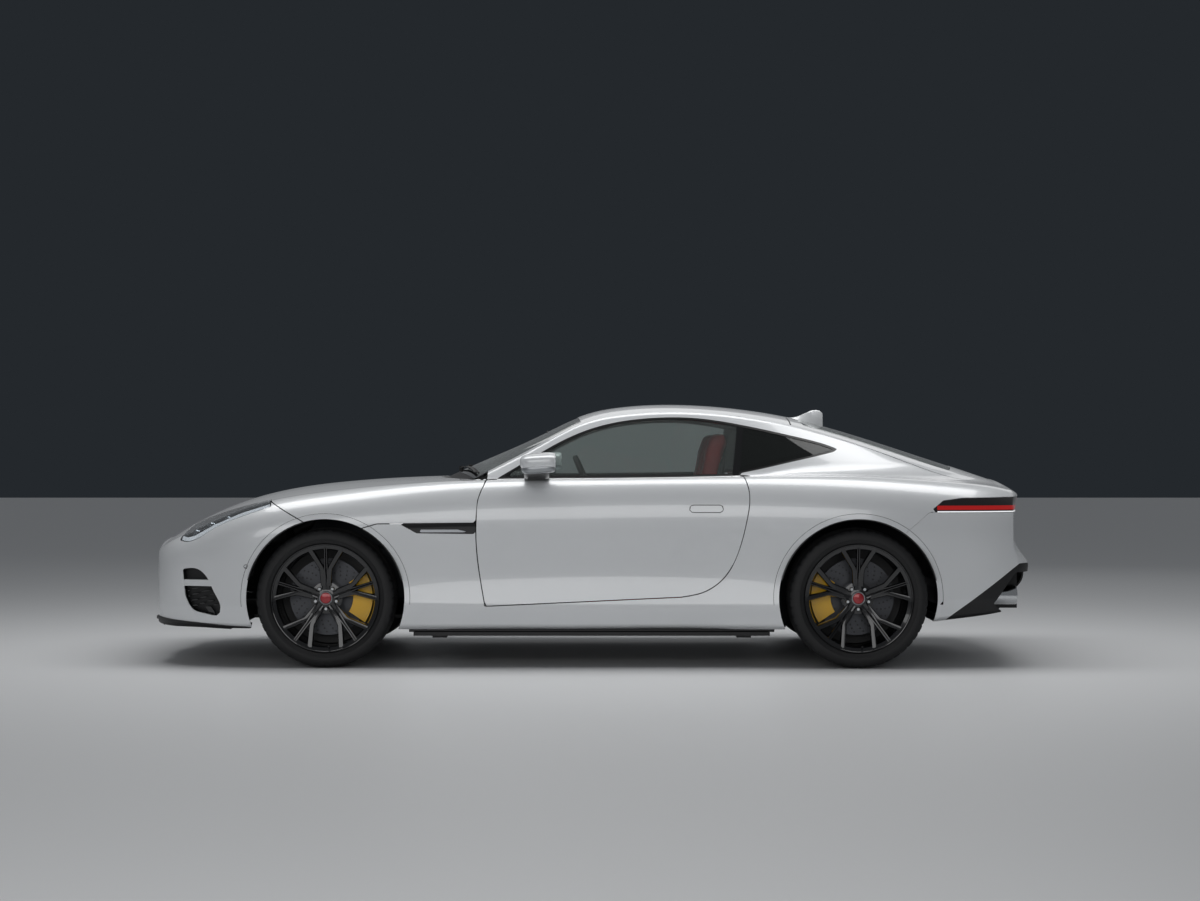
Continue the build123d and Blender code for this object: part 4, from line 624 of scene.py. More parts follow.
class Mesh:
    """Gathers shapes with their materials into one object."""

    def __init__(self):
        self.v, self.f, self.m, self.mats, self.count = [], [], [], [], 0

    def add(self, shape, mat, hands=(1,)):
        """Add a shape, mirrored across the centre plane for hand -1."""
        v, faces = np.asarray(shape[0], float), shape[1]
        if mat not in self.mats:
            self.mats.append(mat)
        for hand in hands:
            self.v.append(v * [1, hand, 1])
            self.f += [[i + self.count for i in (f if hand == 1 else f[::-1])] for f in faces]
            self.m += [self.mats.index(mat)] * len(faces)
            self.count += len(v)
        return self

    def place(self, name, body, nodes=(), slot=None):
        obj = new_object(name, np.concatenate(self.v), self.f, self.mats, None, self.m)
        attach(obj, body)
        if nodes:
            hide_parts(*nodes)
        return obj


def lathe(profile, steps, centre, groove=None):
    """A closed profile of (radius, y) turned about Y. groove gives each step's change of radius."""
    p = np.array(profile, float)
    rows = []
    for k in range(steps):
        a = 2 * math.pi * k / steps
        r = p[:, 0] + (groove(k) if groove else 0.0)
        rows.append(np.stack([r * math.sin(a), p[:, 1], r * math.cos(a)], axis=1))
    n = len(p)
    faces = [[k * n + i, k * n + (i + 1) % n, (k + 1) % steps * n + (i + 1) % n, (k + 1) % steps * n + i]
             for k in range(steps) for i in range(n)]
    return np.concatenate(rows) + np.array(centre), faces


def sweep(path, section, up=(0, 0, 1), closed=False, scale=None):
    """A closed section of (across, above) points carried along a path."""
    p = np.array(path, float)
    t = np.gradient(p, axis=0)
    if closed:
        t = np.roll(p, -1, axis=0) - np.roll(p, 1, axis=0)
    t /= np.linalg.norm(t, axis=1, keepdims=True)
    across = np.cross(t, np.broadcast_to(np.array(up, float), t.shape))
    across /= np.linalg.norm(across, axis=1, keepdims=True)
    above = np.cross(across, t)
    c = np.array(section, float)
    size = np.ones((len(p), 2))
    if scale is not None:
        size = np.array(scale, float).reshape(len(p), -1) * size
    v = np.concatenate([p[i] + across[i] * c[:, :1] * size[i, 0] + above[i] * c[:, 1:] * size[i, 1]
                        for i in range(len(p))])
    n, rows = len(c), len(p) if closed else len(p) - 1
    faces = [[i * n + j, i * n + (j + 1) % n, (i + 1) % len(p) * n + (j + 1) % n, (i + 1) % len(p) * n + j]
             for i in range(rows) for j in range(n)]
    if not closed:
        faces += [list(range(n))[::-1], [len(v) - n + j for j in range(n)]]
    return v, faces


def circle(radius, sides=14):
    return [(radius * math.cos(2 * math.pi * k / sides), radius * math.sin(2 * math.pi * k / sides))
            for k in range(sides)]


def tube(path, radius, sides=14, up=(0, 0, 1), closed=False):
    return sweep(path, circle(radius, sides), up, closed)


def pillow(centre, half_size, tilt=0.0, power=0.45, rows=18, cols=30):
    """A rounded block, leaned about Y by an angle in degrees."""
    def shaped(value):
        return math.copysign(abs(value) ** power, value)

    v, faces = [], []
    for i in range(rows + 1):
        e = math.pi * (i / rows - 0.5)
        for j in range(cols):
            a = 2 * math.pi * j / cols
            v.append((half_size[0] * shaped(math.cos(e)) * shaped(math.cos(a)),
                      half_size[1] * shaped(math.cos(e)) * shaped(math.sin(a)),
                      half_size[2] * shaped(math.sin(e))))
    for i in range(rows):
        for j in range(cols):
            k = (j + 1) % cols
            faces.append([i * cols + j, i * cols + k, (i + 1) * cols + k, (i + 1) * cols + j])
    v = np.array(v)
    t = math.radians(tilt)
    turned = np.stack([v[:, 0] * math.cos(t) + v[:, 2] * math.sin(t), v[:, 1], v[:, 2] * math.cos(t)
                       - v[:, 0] * math.sin(t)], axis=1)
    return turned + np.array(centre), faces


def inset(outline, amount):
    """A counter-clockwise outline moved inwards."""
    p = np.array(outline, float)
    ahead = np.roll(p, -1, axis=0) - p
    ahead /= np.maximum(np.linalg.norm(ahead, axis=1, keepdims=True), 1e-9)
    behind = np.roll(ahead, 1, axis=0)
    normal = np.stack([-(ahead + behind)[:, 1], (ahead + behind)[:, 0]], axis=1)
    normal /= np.maximum(np.linalg.norm(normal, axis=1, keepdims=True), 1e-9)
    return p + normal * amount


def round_outline(a, b, radius, steps):
    """A circle about (a, b) as an outline of points."""
    return [(a + u, b + v) for u, v in circle(radius, steps)]


def prism(outline, low, high, chamfer, place):
    """An outline given thickness, with its upper edge bevelled. place maps (a, b, height) to a point."""
    rings = [(outline, low), (outline, high - chamfer), (inset(outline, chamfer), high)]
    v = [place(a, b, h) for ring_points, h in rings for a, b in ring_points]
    n = len(outline)
    faces = [[r * n + i, r * n + (i + 1) % n, (r + 1) * n + (i + 1) % n, (r + 1) * n + i] for r in range(2)
             for i in range(n)]
    return v, faces + [list(range(n))[::-1], [2 * n + i for i in range(n)]]


def slab(x, y, z, round_off=0.006):
    """A block given by pairs of limits, with rounded corners in plan and a bevelled top."""
    outline = []
    for cx, cy, start in ((x[1], y[1], 0), (x[0], y[1], 1), (x[0], y[0], 2), (x[1], y[0], 3)):
        for k in range(5):
            a = math.pi / 2 * (start + k / 4)
            outline.append((cx - math.copysign(round_off, cx - sum(x) / 2) + round_off * math.cos(a),
                            cy - math.copysign(round_off, cy - sum(y) / 2) + round_off * math.sin(a)))
    return prism(outline, z[0], z[1], min(round_off * 0.6, (z[1] - z[0]) * 0.45), lambda a, b, h: (a, b, h))


def repeat(name, places, turns, shape, mat):
    """Copies of one shape, set at places with turns by Geometry Nodes and made into a plain mesh."""
    template = new_object(name + "_one", shape[0], shape[1], [mat])
    points = bpy.data.meshes.new(name + "_points")
    points.from_pydata([tuple(p) for p in places], [], [])
    points.attributes.new("turn", "FLOAT_VECTOR",
                          "POINT").data.foreach_set("vector", np.array(turns, float).ravel())
    holder = bpy.data.objects.new(name + "_points", points)
    bpy.context.collection.objects.link(holder)
    tree = bpy.data.node_groups.new(name, "GeometryNodeTree")
    tree.interface.new_socket("Geometry", in_out="INPUT", socket_type="NodeSocketGeometry")
    tree.interface.new_socket("Geometry", in_out="OUTPUT", socket_type="NodeSocketGeometry")
    start, end = node(tree, "NodeGroupInput"), node(tree, "NodeGroupOutput")
    one = node(tree, "GeometryNodeObjectInfo", Object=template)
    turn = node(tree, "GeometryNodeInputNamedAttribute", data_type="FLOAT_VECTOR", Name="turn")
    euler = node(tree, "FunctionNodeEulerToRotation")
    copies = node(tree, "GeometryNodeInstanceOnPoints")
    real = node(tree, "GeometryNodeRealizeInstances")
    finish = node(tree, "GeometryNodeSetMaterial", Material=mat)
    for a, b in (
        (start.outputs[0], copies.inputs["Points"]), (one.outputs["Geometry"], copies.inputs["Instance"]),
        (turn.outputs[0], euler.inputs[0]), (euler.outputs[0], copies.inputs["Rotation"]),
        (copies.outputs[0], real.inputs[0]), (real.outputs[0], finish.inputs[0]),
        (finish.outputs[0], end.inputs[0]),
    ):
        tree.links.new(a, b)
    holder.modifiers.new("copies", "NODES").node_group = tree
    bpy.context.view_layer.update()
    mesh = bpy.data.meshes.new_from_object(holder.evaluated_get(bpy.context.evaluated_depsgraph_get()))
    mesh.name = name
    made = bpy.data.objects.new(name, mesh)
    bpy.context.collection.objects.link(made)
    bpy.data.objects.remove(holder)
    bpy.data.objects.remove(template)
    return made


top_points = skin_v[skin_n[:, 2] > 0.2]


def skin_z(x, y):
    """Height of the upper skin over a point."""
    near = np.argmin((top_points[:, 0] - x) ** 2 + (top_points[:, 1] - abs(y)) ** 2)
    return float(top_points[near, 2])


HATCH_FOOT = 0.846
HATCH_SHUT = 0.007
in_hood = drawn(HOOD, SHUT)
in_door = drawn(DOOR, SHUT)
in_screen = planned(SCREEN, 0.001)
in_cowl = planned(cowl_arc, SHUT)
in_hatch = planned(HATCH, HATCH_SHUT)
no_front_arch = no(arch(FRONT_AXLE))
no_rear_arch = no(arch(REAR_AXLE))

hood = cut(half, box((0.4, 2.2), None, (0.55, 1.1)), drawn(HOOD), no_front_arch, no(in_cowl), below_belt)
shell("hood_skin", both(hood), "hood", ["hood"], PAINT, 0.006, SATIN_BLACK)

bumper = cut(
    half, box((FRONT_AXLE, 3), None, (0.197, 0.9)), no(in_hood), no_front_arch,
    no(drawn(HEADLAMP, 0.0015), box(None, (0.38, 2))), no(drawn(INTAKE), box(None, (0.5, 2))),
    no(faced(MOUTH), box((2.05, 3))),
)


def splitter_top(p):
    """Negative above the black lip under the nose."""
    return np.interp(p.v[:, 0], [1.60, 1.80, 2.25], [0.198, 0.206, 0.240]) - p.v[:, 2]


shell("front_bumper_skin", both(cut(bumper, splitter_top)), "body", ["front_bumper"], PAINT, 0.005,
      SATIN_BLACK)

lip = cut(half, box((1.66, 3), None, (0.199, 0.30)), no(splitter_top))
shell("splitter_lip", both(lip), "body", [], SATIN_BLACK, 0.030, None, -0.006)

lamp = cut(half, box((1.5, 2.15), (0.38, 1), (0.5, 0.9)), drawn(HEADLAMP), no(in_hood))
shell("headlamp_lenses", both(lamp), "body", ["headlamps"], LENS, 0.003, None, 0.001)
shell("headlamp_bowls", both(lamp), "body", [], SMOKE, 0.004, None, 0.035)

fender = cut(half, box((DOOR_FRONT - 0.08, FRONT_AXLE - 0.1), (0.3, 1), (0.303, 0.72)), no(in_hood),
             no(in_door), no_front_arch,
             no(drawn(VENT)))
shell("front_fender_skins", both(fender), "body", ["front_fenders"], PAINT, 0.005, SATIN_BLACK)
vent = cut(half, box((0.5, 1.0), (0.3, 1), (0.6, 0.75)), drawn(VENT))
shell("side_vents", both(vent), "body", [], GLOSS_BLACK, 0.004, None, 0.010)


def door_inside(p):
    """The inner face of a door: flat, thin ahead of the hinge pins, and drawn in at the rear edge."""
    y = np.abs(p.v[:, 1])
    deep = np.where(p.v[:, 0] > 0.5, np.minimum(y - 0.003, 0.852), np.minimum(y - 0.003, 0.745))
    x = p.v[:, 0] + 0.14 * (y - deep) * np.clip((0.3 - p.v[:, 0]) / 0.5, 0, 1)
    return np.stack([x, np.sign(p.v[:, 1]) * deep, p.v[:, 2]], axis=1)


door = cut(half, box((-0.9, 0.65), (0.5, 1), (0.2, 1.0)), drawn(DOOR), below_belt)
for name, piece in (("door_left", door), ("door_right", door.mirrored())):
    shell(name + "_skin", piece, name, [name], PAINT, 0.09, BLACK_LEATHER,
          turn_in=door_inside)


def side_inside(p):
    """The inner face of a body side, turned in to the cabin wall round the door opening."""
    near = np.clip(1 - (signed_distance(DOOR, p.v[:, 0], p.v[:, 2]) - SHUT) / 0.08, 0, 1) * (p.belt < 0.004)
    far = p.v - p.n * 0.005
    jamb = np.stack([p.v[:, 0], np.sign(p.v[:, 1]) * 0.742, p.v[:, 2]], axis=1)
    return far + (jamb - far) * near[:, None]


sides = cut(
    half, box((-2.3, FRONT_AXLE - ARCH_R + 0.04), None, (0.187, 1.4)), no_rear_arch, no_front_arch,
    no(in_door, below_belt),
    no(in_hood), no(in_screen, above_belt), no(in_cowl, box(None, (-1, 0.684))), no(drawn(DLO), above_belt),
    no(in_hatch, box(None, None, (HATCH_FOOT - HATCH_SHUT, 2))),
    no(box((HATCH_FRONT, 0.2), (-1, 0.52), (1.15, 2))),
    no(box((DOOR_FRONT - 0.07, 3), None, (0.303, 0.86))),
    no(drawn(LAMP, 0.001), box(None, (0.38, 2))), no(drawn(REAR_BUMPER, 0.001)),
    no(box((-3, REAR_AXLE - 0.64), (-1, 0.38), (0.74, HATCH_FOOT))),
)
shell("body_side_skins", both(sides), "body", ["body_sides"], PAINT, 0.005, SATIN_BLACK,
      turn_in=side_inside)

roof = cut(half, box((HATCH_FRONT + HATCH_SHUT, 0.2), (-1, 0.518), (1.15, 2)), no(in_screen))
shell("roof_skin", both(roof), "body", ["roof"], PAINT, 0.004, BLACK_LEATHER)

cowl = cut(half, box((0.4, 0.9), (-1, 0.684), (0.7, 1.2)), planned(cowl_arc), no(in_screen, above_belt))
shell("cowl_panel", both(cowl), "body", ["cowl"], SATIN_BLACK, 0.006, None, 0.004)

pane = cut(half, box((0.0, 0.8), None, (0.85, 1.4)), above_belt, planned(SCREEN))
shell("windscreen_pane", both(cut(pane, planned(SCREEN, -0.028))), "body", ["windscreen"], GLASS, 0.004,
      None, 0.003)
shell("windscreen_border", both(cut(pane, no(planned(SCREEN, -0.028)))), "body", [], GLOSS_BLACK, 0.004,
      None, 0.003)

BAR = [(DOOR_REAR + 0.001, 1.26), (DOOR_REAR + 0.045, 0.90), (DOOR_REAR + 0.079, 0.90),
       (DOOR_REAR + 0.035, 1.26)]
side_pane = cut(half, box((-1.3, 0.6), (0.3, 1), (0.85, 1.3)), above_belt, drawn(DLO))
clear_pane = cut(side_pane, drawn(DLO, -0.012), no(drawn(BAR)))
quarter_pane = cut(clear_pane, box((-2, DOOR_REAR + 0.06)), lambda p: p.v[:, 0] - DOOR_REAR - 0.045
                   + (p.v[:, 2] - 0.9) * 0.122)
door_pane = cut(clear_pane, lambda p: DOOR_REAR + 0.06 - (p.v[:, 2] - 0.9) * 0.122 - p.v[:, 0])
for name, piece in (("door_glass_left", door_pane), ("door_glass_right", door_pane.mirrored())):
    shell(name + "_pane", piece, name.replace("glass_", ""), [name], GLASS, 0.004, None, 0.003)
shell("quarter_panes", both(quarter_pane), "body", ["quarter_glass"], DARK_GLASS, 0.004, None, 0.003)
trim = cut(side_pane, no(drawn(DLO, -0.010)))
shell("window_trims", both(trim), "body", [], TRIM, 0.008, None, 0.001)
bar = cut(side_pane, drawn(DLO, -0.010), drawn(BAR))
shell("window_bars", both(bar), "body", [], GLOSS_BLACK, 0.006, None, 0.001)

hatch_zone = cut(half, box((-2.3, -0.9), None, (HATCH_FOOT, 2)), planned(HATCH))
hatch = cut(hatch_zone, no(planned(HATCH_GLASS, 0.0015)))
shell("hatch_skin", both(hatch), "hatch", ["hatch"], PAINT, 0.005, SATIN_BLACK)
rear_pane = cut(hatch_zone, planned(HATCH_GLASS))
shell("hatch_pane", both(rear_pane), "hatch", ["hatch_glass"], GLASS, 0.004, None, 0.002)

rear_lamp = cut(half, box((-2.3, -1.5), (0.38, 1), (0.7, 0.9)), drawn(LAMP))
shell("tail_lamp_lenses", both(rear_lamp), "body", ["tail_lamps"], SMOKE, 0.02, None, 0.002)

tail = cut(half, box((-2.3, -1.4), None, (0.2, HATCH_FOOT - HATCH_SHUT)), no_rear_arch,
           no(drawn(DIFFUSER, 0.001)))
tail = cut(tail, no(drawn([(-2.4, 0.762), (REAR_AXLE - 0.347, 0.766), (REAR_AXLE - 0.2, 0.64), (-1.3, 0.6),
                           (-1.3, 1.0), (-2.4, 1.0)]),
                    box(None, (0.379, 2))))
tail = cut(tail, no(box((REAR_AXLE - 0.2, 0))), no(box((-1.95, 0), (-1, 0.5), (0.62, 1))))
shell("rear_bumper_skin", both(tail), "body", ["rear_bumper"], PAINT, 0.005, SATIN_BLACK)
NOTCH = [(-1.985, 0.312), (-2.100, 0.468), (-2.350, 0.468), (-2.350, 0.150), (-2.045, 0.150),
         (-2.030, 0.270)]
wedge = cut(half, box((-2.3, -1.6), None, (0.19, 0.52)), drawn(DIFFUSER), no_rear_arch,
            no(drawn(NOTCH), box(None, (0.400, 2))))
shell("diffuser_skin", both(wedge), "body", ["diffuser"], SATIN_BLACK, 0.008, None, 0.001)


# Lamps, vents and small details of the body


def skin_side(x, z):
    """The skin's point and outward direction at a place in side view."""
    miss = (skin_v[:, 0] - x) ** 2 + (skin_v[:, 2] - z) ** 2 + (skin_v[:, 1] < 0.3)
    near = np.argmin(miss)
    return skin_v[near], skin_n[near]


def along_x(shape, centre):
    """A shape turned about Y, laid along X instead and moved."""
    v, faces = shape
    return np.stack([v[:, 1], v[:, 0], v[:, 2]], axis=1) + np.array(centre), faces


def lamp_foot(p):
    """Negative in a band along the lower edge of the headlamp."""
    edge = np.interp(p.v[:, 0], [1.582, 1.738, 1.876, 1.971, 2.009, 2.053],
                     [0.812, 0.762, 0.703, 0.650, 0.640, 0.648])
    return p.v[:, 2] - edge


strip = cut(lamp, drawn(HEADLAMP, -0.007), lamp_foot)
shell("headlamp_strips", both(strip), "body", [], LAMP_WHITE, 0.004, None, 0.006)
projectors = Mesh()
for x, z, radius in ((1.975, 0.672, 0.024), (1.895, 0.712, 0.024), (1.815, 0.748, 0.019)):
    spot, out = skin_side(x, z)
    spot = spot - out * 0.026
    projectors.add(pillow(spot, (radius, radius, radius), 0, 1.0, 12, 22), CHROME, (1, -1))
    barrel = tube([spot - out * 0.006, spot + out * 0.010], radius + 0.006, 26)
    projectors.add(barrel, GLOSS_BLACK, (1, -1))
projectors.place("headlamp_projectors", "body", (), "lamp")

TAIL_PIVOT = (-1.655, 0.30)
TAIL_TURN = np.radians(np.linspace(4, 80, 60))


def waterline(z):
    """The skin's places round the tail at one height, in turn order about TAIL_PIVOT."""
    spots = []
    for f in half.faces:
        for i, j in zip(f, f[1:] + f[:1]):
            a, b = half.v[i], half.v[j]
            if (a[2] < z) != (b[2] < z) and a[0] < -1.60 and a[1] > 0.3:
                spots.append(a + (b - a) * (z - a[2]) / (b[2] - a[2]))
    spots = np.array(spots)
    turn = np.arctan2(TAIL_PIVOT[0] - spots[:, 0], spots[:, 1] - TAIL_PIVOT[1])
    order = np.argsort(turn)
    return np.stack([np.interp(TAIL_TURN, turn[order], spots[order, k]) for k in range(3)], axis=1)


def lamp_line(low, high, proud):
    """A thin strip lying on the tail lamp between two heights."""
    lower, upper = waterline(low), waterline(high)
    along = np.gradient(lower, axis=0)
    out = np.stack([-np.abs(along[:, 1]), np.abs(along[:, 0]), np.zeros(len(along))], axis=1)
    out /= np.linalg.norm(out, axis=1)[:, None]
    rows = [lower - out * 0.002, lower + out * proud, upper + out * proud, upper - out * 0.002]
    v = np.stack(rows, axis=1).reshape(-1, 3)
    faces = [[4 * i + j, 4 * i + (j + 1) % 4, 4 * i + 4 + (j + 1) % 4, 4 * i + 4 + j]
             for i in range(len(along) - 1) for j in range(4)]
    return v, faces + [[3, 2, 1, 0], [len(v) - 4, len(v) - 3, len(v) - 2, len(v) - 1]]


Mesh().add(lamp_line(0.778, 0.799, 0.0005), RED_LENS, (1, -1)).place("tail_lamp_strips", "body", (), "lamp")
Mesh().add(lamp_line(0.7665, 0.7720, 0.0012), LAMP_WHITE,
           (1, -1)).place("tail_lamp_edges", "body", (), "lamp")


def tail_round(radius):
    return lambda p: np.hypot(p.v[:, 1] - 0.60, p.v[:, 2] - 0.803) - radius


lamp_ring = cut(rear_lamp, box((-3, -2.1)), tail_round(0.028), no(tail_round(0.019)))
shell("tail_lamp_rings", both(lamp_ring), "body", [], RED_LENS, 0.003, None, 0.001)

VENT_STRIP = [(0.846, 0.668), (0.836, 0.686), (0.655, 0.686), (0.608, 0.668)]
vent_strip = cut(vent, drawn(VENT_STRIP))
shell("side_vent_strips", both(vent_strip), "body", [], PALE_SILVER, 0.008, None, 0.0)
intake = cut(half, box((1.80, 2.12), (0.5, 1), (0.2, 0.55)), drawn(INTAKE, 0.004))
shell("intake_ducts", both(intake), "body", ["intake_vanes"], SATIN_BLACK, 0.004, None, 0.030)
blade = cut(half, box((1.80, 2.12), (0.5, 1), (0.399, 0.430)), drawn(INTAKE, 0.003))
shell("intake_blades", both(blade), "body", [], PAINT, 0.030, None, 0.002)
RIB_PITCH = 0.028
RIB_HALF = 0.004


def on_rib(p):
    """Negative on the slanted ribs of the lower intake."""
    across = (p.v[:, 2] - 0.28 + 0.3 * (p.v[:, 0] - 1.9)) % RIB_PITCH - RIB_PITCH / 2
    return np.abs(across) - RIB_HALF


duct_ribs = cut(half, box((1.80, 2.12), (0.5, 1), (0.2, 0.39)), drawn(INTAKE, 0.003), on_rib)
shell("intake_ribs", both(duct_ribs), "body", [], GLOSS_BLACK, 0.010, None, 0.016)


def rounded(a, b, corner, steps=6):
    """A counter-clockwise rectangle from pairs of limits, with round corners."""
    points = []
    for ca, cb, start in ((a[1], b[1], 0), (a[0], b[1], 1), (a[0], b[0], 2), (a[1], b[0], 3)):
        for k in range(steps + 1):
            turn = math.pi / 2 * (start + k / steps)
            points.append((ca - math.copysign(corner, ca - sum(a) / 2) + corner * math.cos(turn),
                           cb - math.copysign(corner, cb - sum(b) / 2) + corner * math.sin(turn)))
    return points


HANDLE = rounded((-0.652, -0.482), (0.763, 0.803), 0.019)
handle_line = cut(half, box((-0.7, -0.4), (0.5, 1), (0.7, 0.85)), drawn(HANDLE), no(drawn(HANDLE, -0.0035)))
belt_trim = cut(half, box((DOOR_REAR + 0.07, 0.6), (0.3, 1), (0.85, 1.3)), drawn(DLO, -0.010), above_belt,
                lambda p: p.belt - 0.014)
sail = cut(door_pane, box((0.405, 1)))
for name, hand in (("door_left", 1), ("door_right", -1)):
    for part, patch, mat, depth, sunk in (
        ("handle_line", handle_line, TRIM, 0.002, -0.0005), ("belt_trim", belt_trim, TRIM, 0.008, -0.0005),
        ("sail", sail, GLOSS_BLACK, 0.006, 0.001),
    ):
        shell(f"{name}_{part}", patch if hand == 1 else patch.mirrored(), name, [], mat, depth, None, sunk)
sensor = cut(half, box((1.6, 1.8), (0.5, 1), (0.4, 0.6)),
             lambda p: np.hypot(p.v[:, 0] - 1.70, p.v[:, 2] - 0.499) - 0.012)
sensor = cut(sensor, lambda p: 0.009 - np.hypot(p.v[:, 0] - 1.70, p.v[:, 2] - 0.499))
shell("parking_sensors", both(sensor), "body", [], SATIN_BLACK, 0.002, None, -0.0004)
plate = cut(half, box((-2.3, -2.05), (-1, 0.262), (0.585, 0.700)))
shell("plate_panel", both(plate), "body", [], SATIN_BLACK, 0.003, None, -0.0008)

# Arch lips: a turned-in band round each wheel opening, split between the panels that carry it

LIP_WIDTH = 0.027


def flank_y(x, z):
    """The skin's half width at a place in side view."""
    points, _ = ring(x)
    low = points[len(points) - sum(RUNS[3:]) - 1:len(points) - RUNS[7] - RUNS[6]]
    order = np.argsort(low[:, 1])
    return float(np.interp(z, low[order, 1], low[order, 0]))


def arch_band(axle):
    """The band as a patch: its outer edge on the skin, its inner edge turned in."""
    rows, normals = [], []
    angles = np.radians(np.linspace(-116, 116, 117))
    for a in angles:
        x_dir, z_dir = math.sin(a), math.cos(a)
        for radius, push in ((ARCH_R + LIP_WIDTH, 0.0006), (ARCH_R + LIP_WIDTH / 2, -0.004),
                             (ARCH_R - 0.001, -0.0085)):
            x, z = axle + radius * x_dir, HUB_Z + radius * z_dir
            rows.append((x, flank_y(x, z) + push, z))
            tilt = np.array((-0.42 * x_dir, 1.0, -0.42 * z_dir))
            normals.append(tilt / np.linalg.norm(tilt))
    faces = [[3 * i + j, 3 * i + j + 1, 3 * i + j + 4, 3 * i + j + 3] for i in range(len(angles) - 1)
             for j in range(2)]
    return Patch(np.array(rows), np.array(normals), np.full(len(rows), -1.0), faces)


front_band = arch_band(FRONT_AXLE)
rear_band = cut(arch_band(REAR_AXLE), box(None, None, (0.312, 1)))
hood_band = cut(front_band, drawn(HOOD))
nose_band = cut(front_band, no(in_hood), box((FRONT_AXLE, 3), None, (0.300, 1)))
wing_band = cut(front_band, no(in_hood), box((0, FRONT_AXLE), None, (0.312, 1)))
shell("hood_arch_lips", both(hood_band), "hood", [], PAINT, 0.004, None, 0.0)
for name, band in (("nose_arch_lips", nose_band), ("wing_arch_lips", wing_band),
                   ("rear_arch_lips", rear_band)):
    shell(name, both(band), "body", [], PAINT, 0.004, None, 0.0)

# Door hinges: slim knuckles on leaves inside the shut line
hinges = Mesh()
for z in (0.435, 0.635):
    hinges.add(tube([(0.505, 0.872, z - 0.036), (0.505, 0.872, z + 0.036)], 0.0065, 16, (1, 0, 0)),
               DARK_METAL, (1, -1))
    hinges.add(slab((0.505, 0.590), (0.858, 0.868), (z - 0.030, z + 0.030), 0.004), DARK_METAL, (1, -1))
hinges.place("hinge_knuckles", "body", ("door_hinges",), "tub")

# Mirrors: painted cap, silver band, black foot and the glass
for name, hand in (("mirror_left", 1), ("mirror_right", -1)):
    door_name = name.replace("mirror", "door")
    cap_v, cap_f = pillow((0.250, 0.938, 1.014), (0.100, 0.086, 0.046), 4, 0.60, 26, 44)
    taper = 1 - 0.25 * np.clip((cap_v[:, 1] - 0.90) / 0.13, 0, 1)
    cap_v[:, 2] = 1.014 + (cap_v[:, 2] - 1.014) * taper
    cap_v[:, 0] = np.maximum(cap_v[:, 0], 0.176)
    Mesh().add((cap_v, cap_f), PAINT, (hand,)).place(name + "_cap", door_name, (name,), "paint")
    foot = Mesh()
    band_v, band_f = pillow((0.252, 0.934, 0.984), (0.090, 0.078, 0.028), 4, 0.6, 20, 40)
    band_v[:, 0] = np.maximum(band_v[:, 0], 0.178)
    foot.add((band_v, band_f), SILVER, (hand,))
    stalk = [(0.270, y, z) for y, z in bend([(0.775, 0.925), (0.830, 0.934), (0.890, 0.966)], 6)]
    blade_section = [(0.062, 0), (0.044, 0.014), (-0.044, 0.014), (-0.062, 0), (-0.044, -0.012),
                     (0.044, -0.012)]
    foot.add(sweep(stalk, blade_section), GLOSS_BLACK, (hand,))
    glass_outline = rounded((0.876, 1.000), (0.985, 1.043), 0.020)
    foot.add(prism(glass_outline, 0.0, 0.003, 0.001, lambda a, b, h: (0.1765 - h, a, b)), CHROME, (hand,))
    foot.place(name + "_foot", door_name, (), "black_plastic")

# Aerial fin on the tailgate and wipers on the screen
FIN_SECTION = ((-1, 0), (-0.75, 0.4), (-0.3, 0.92), (0, 1), (0.3, 0.92), (0.75, 0.4), (1, 0))
fin_v = []
for k in range(15):
    t = k / 14
    x = -1.034 - 0.190 * t
    low = skin_z(x, 0) - 0.003
    top = max(low + 0.004,
              float(np.interp(t, [0, 0.30, 0.70, 0.90, 1], [1.240, 1.250, 1.283, 1.285, 1.268])))
    width = 0.004 + 0.018 * math.sin(math.pi * min(1.0, 0.08 + 0.80 * t))
    fin_v += [(x, u * width, low + (top - low) * h) for u, h in FIN_SECTION]
fin_f = [[i * 7 + j, i * 7 + j + 1, i * 7 + j + 8, i * 7 + j + 7] for i in range(14) for j in range(6)]
fin_f += [list(range(7)), [14 * 7 + j for j in range(7)]]
Mesh().add((fin_v, fin_f), PAINT).place("aerial_fin", "hatch", ("roof_fin",), "paint")
wipers = Mesh()
for root, tip in (((0.690, 0.04), (0.585, 0.60)), ((0.655, -0.52), (0.650, 0.00))):
    track = [(root[0] + (tip[0] - root[0]) * t, root[1] + (tip[1] - root[1]) * t)
             for t in np.linspace(0, 1, 12)]
    ends = skin_z(*root), skin_z(*tip)
    crown = max(0.0, skin_z((root[0] + tip[0]) / 2, (root[1] + tip[1]) / 2) - sum(ends) / 2)
    lie = [ends[0] + (ends[1] - ends[0]) * t + 4 * crown * t * (1 - t) for t in np.linspace(0, 1, 12)]
    arm = [(x, y, z + 0.010) for (x, y), z in zip(track, lie)]
    rub = [(x - 0.016, y, z + 0.007) for (x, y), z in zip(track[3:], lie[3:])]
    wipers.add(sweep(arm, [(0.007, -0.003), (0.007, 0.003), (-0.007, 0.003), (-0.007, -0.003)]),
               SATIN_BLACK)
    wipers.add(sweep(rub, [(0.004, -0.005), (0.004, 0.004), (-0.004, 0.004), (-0.004, -0.005)]), RUBBER)
    pivot = (root[0], root[1], skin_z(*root))
    wipers.add(tube([(pivot[0], pivot[1], pivot[2] - 0.012), (pivot[0], pivot[1], pivot[2] + 0.020)],
                    0.012, 14, (1, 0, 0)),
               SATIN_BLACK)
wipers.place("wipers", "body", (), "black_plastic")

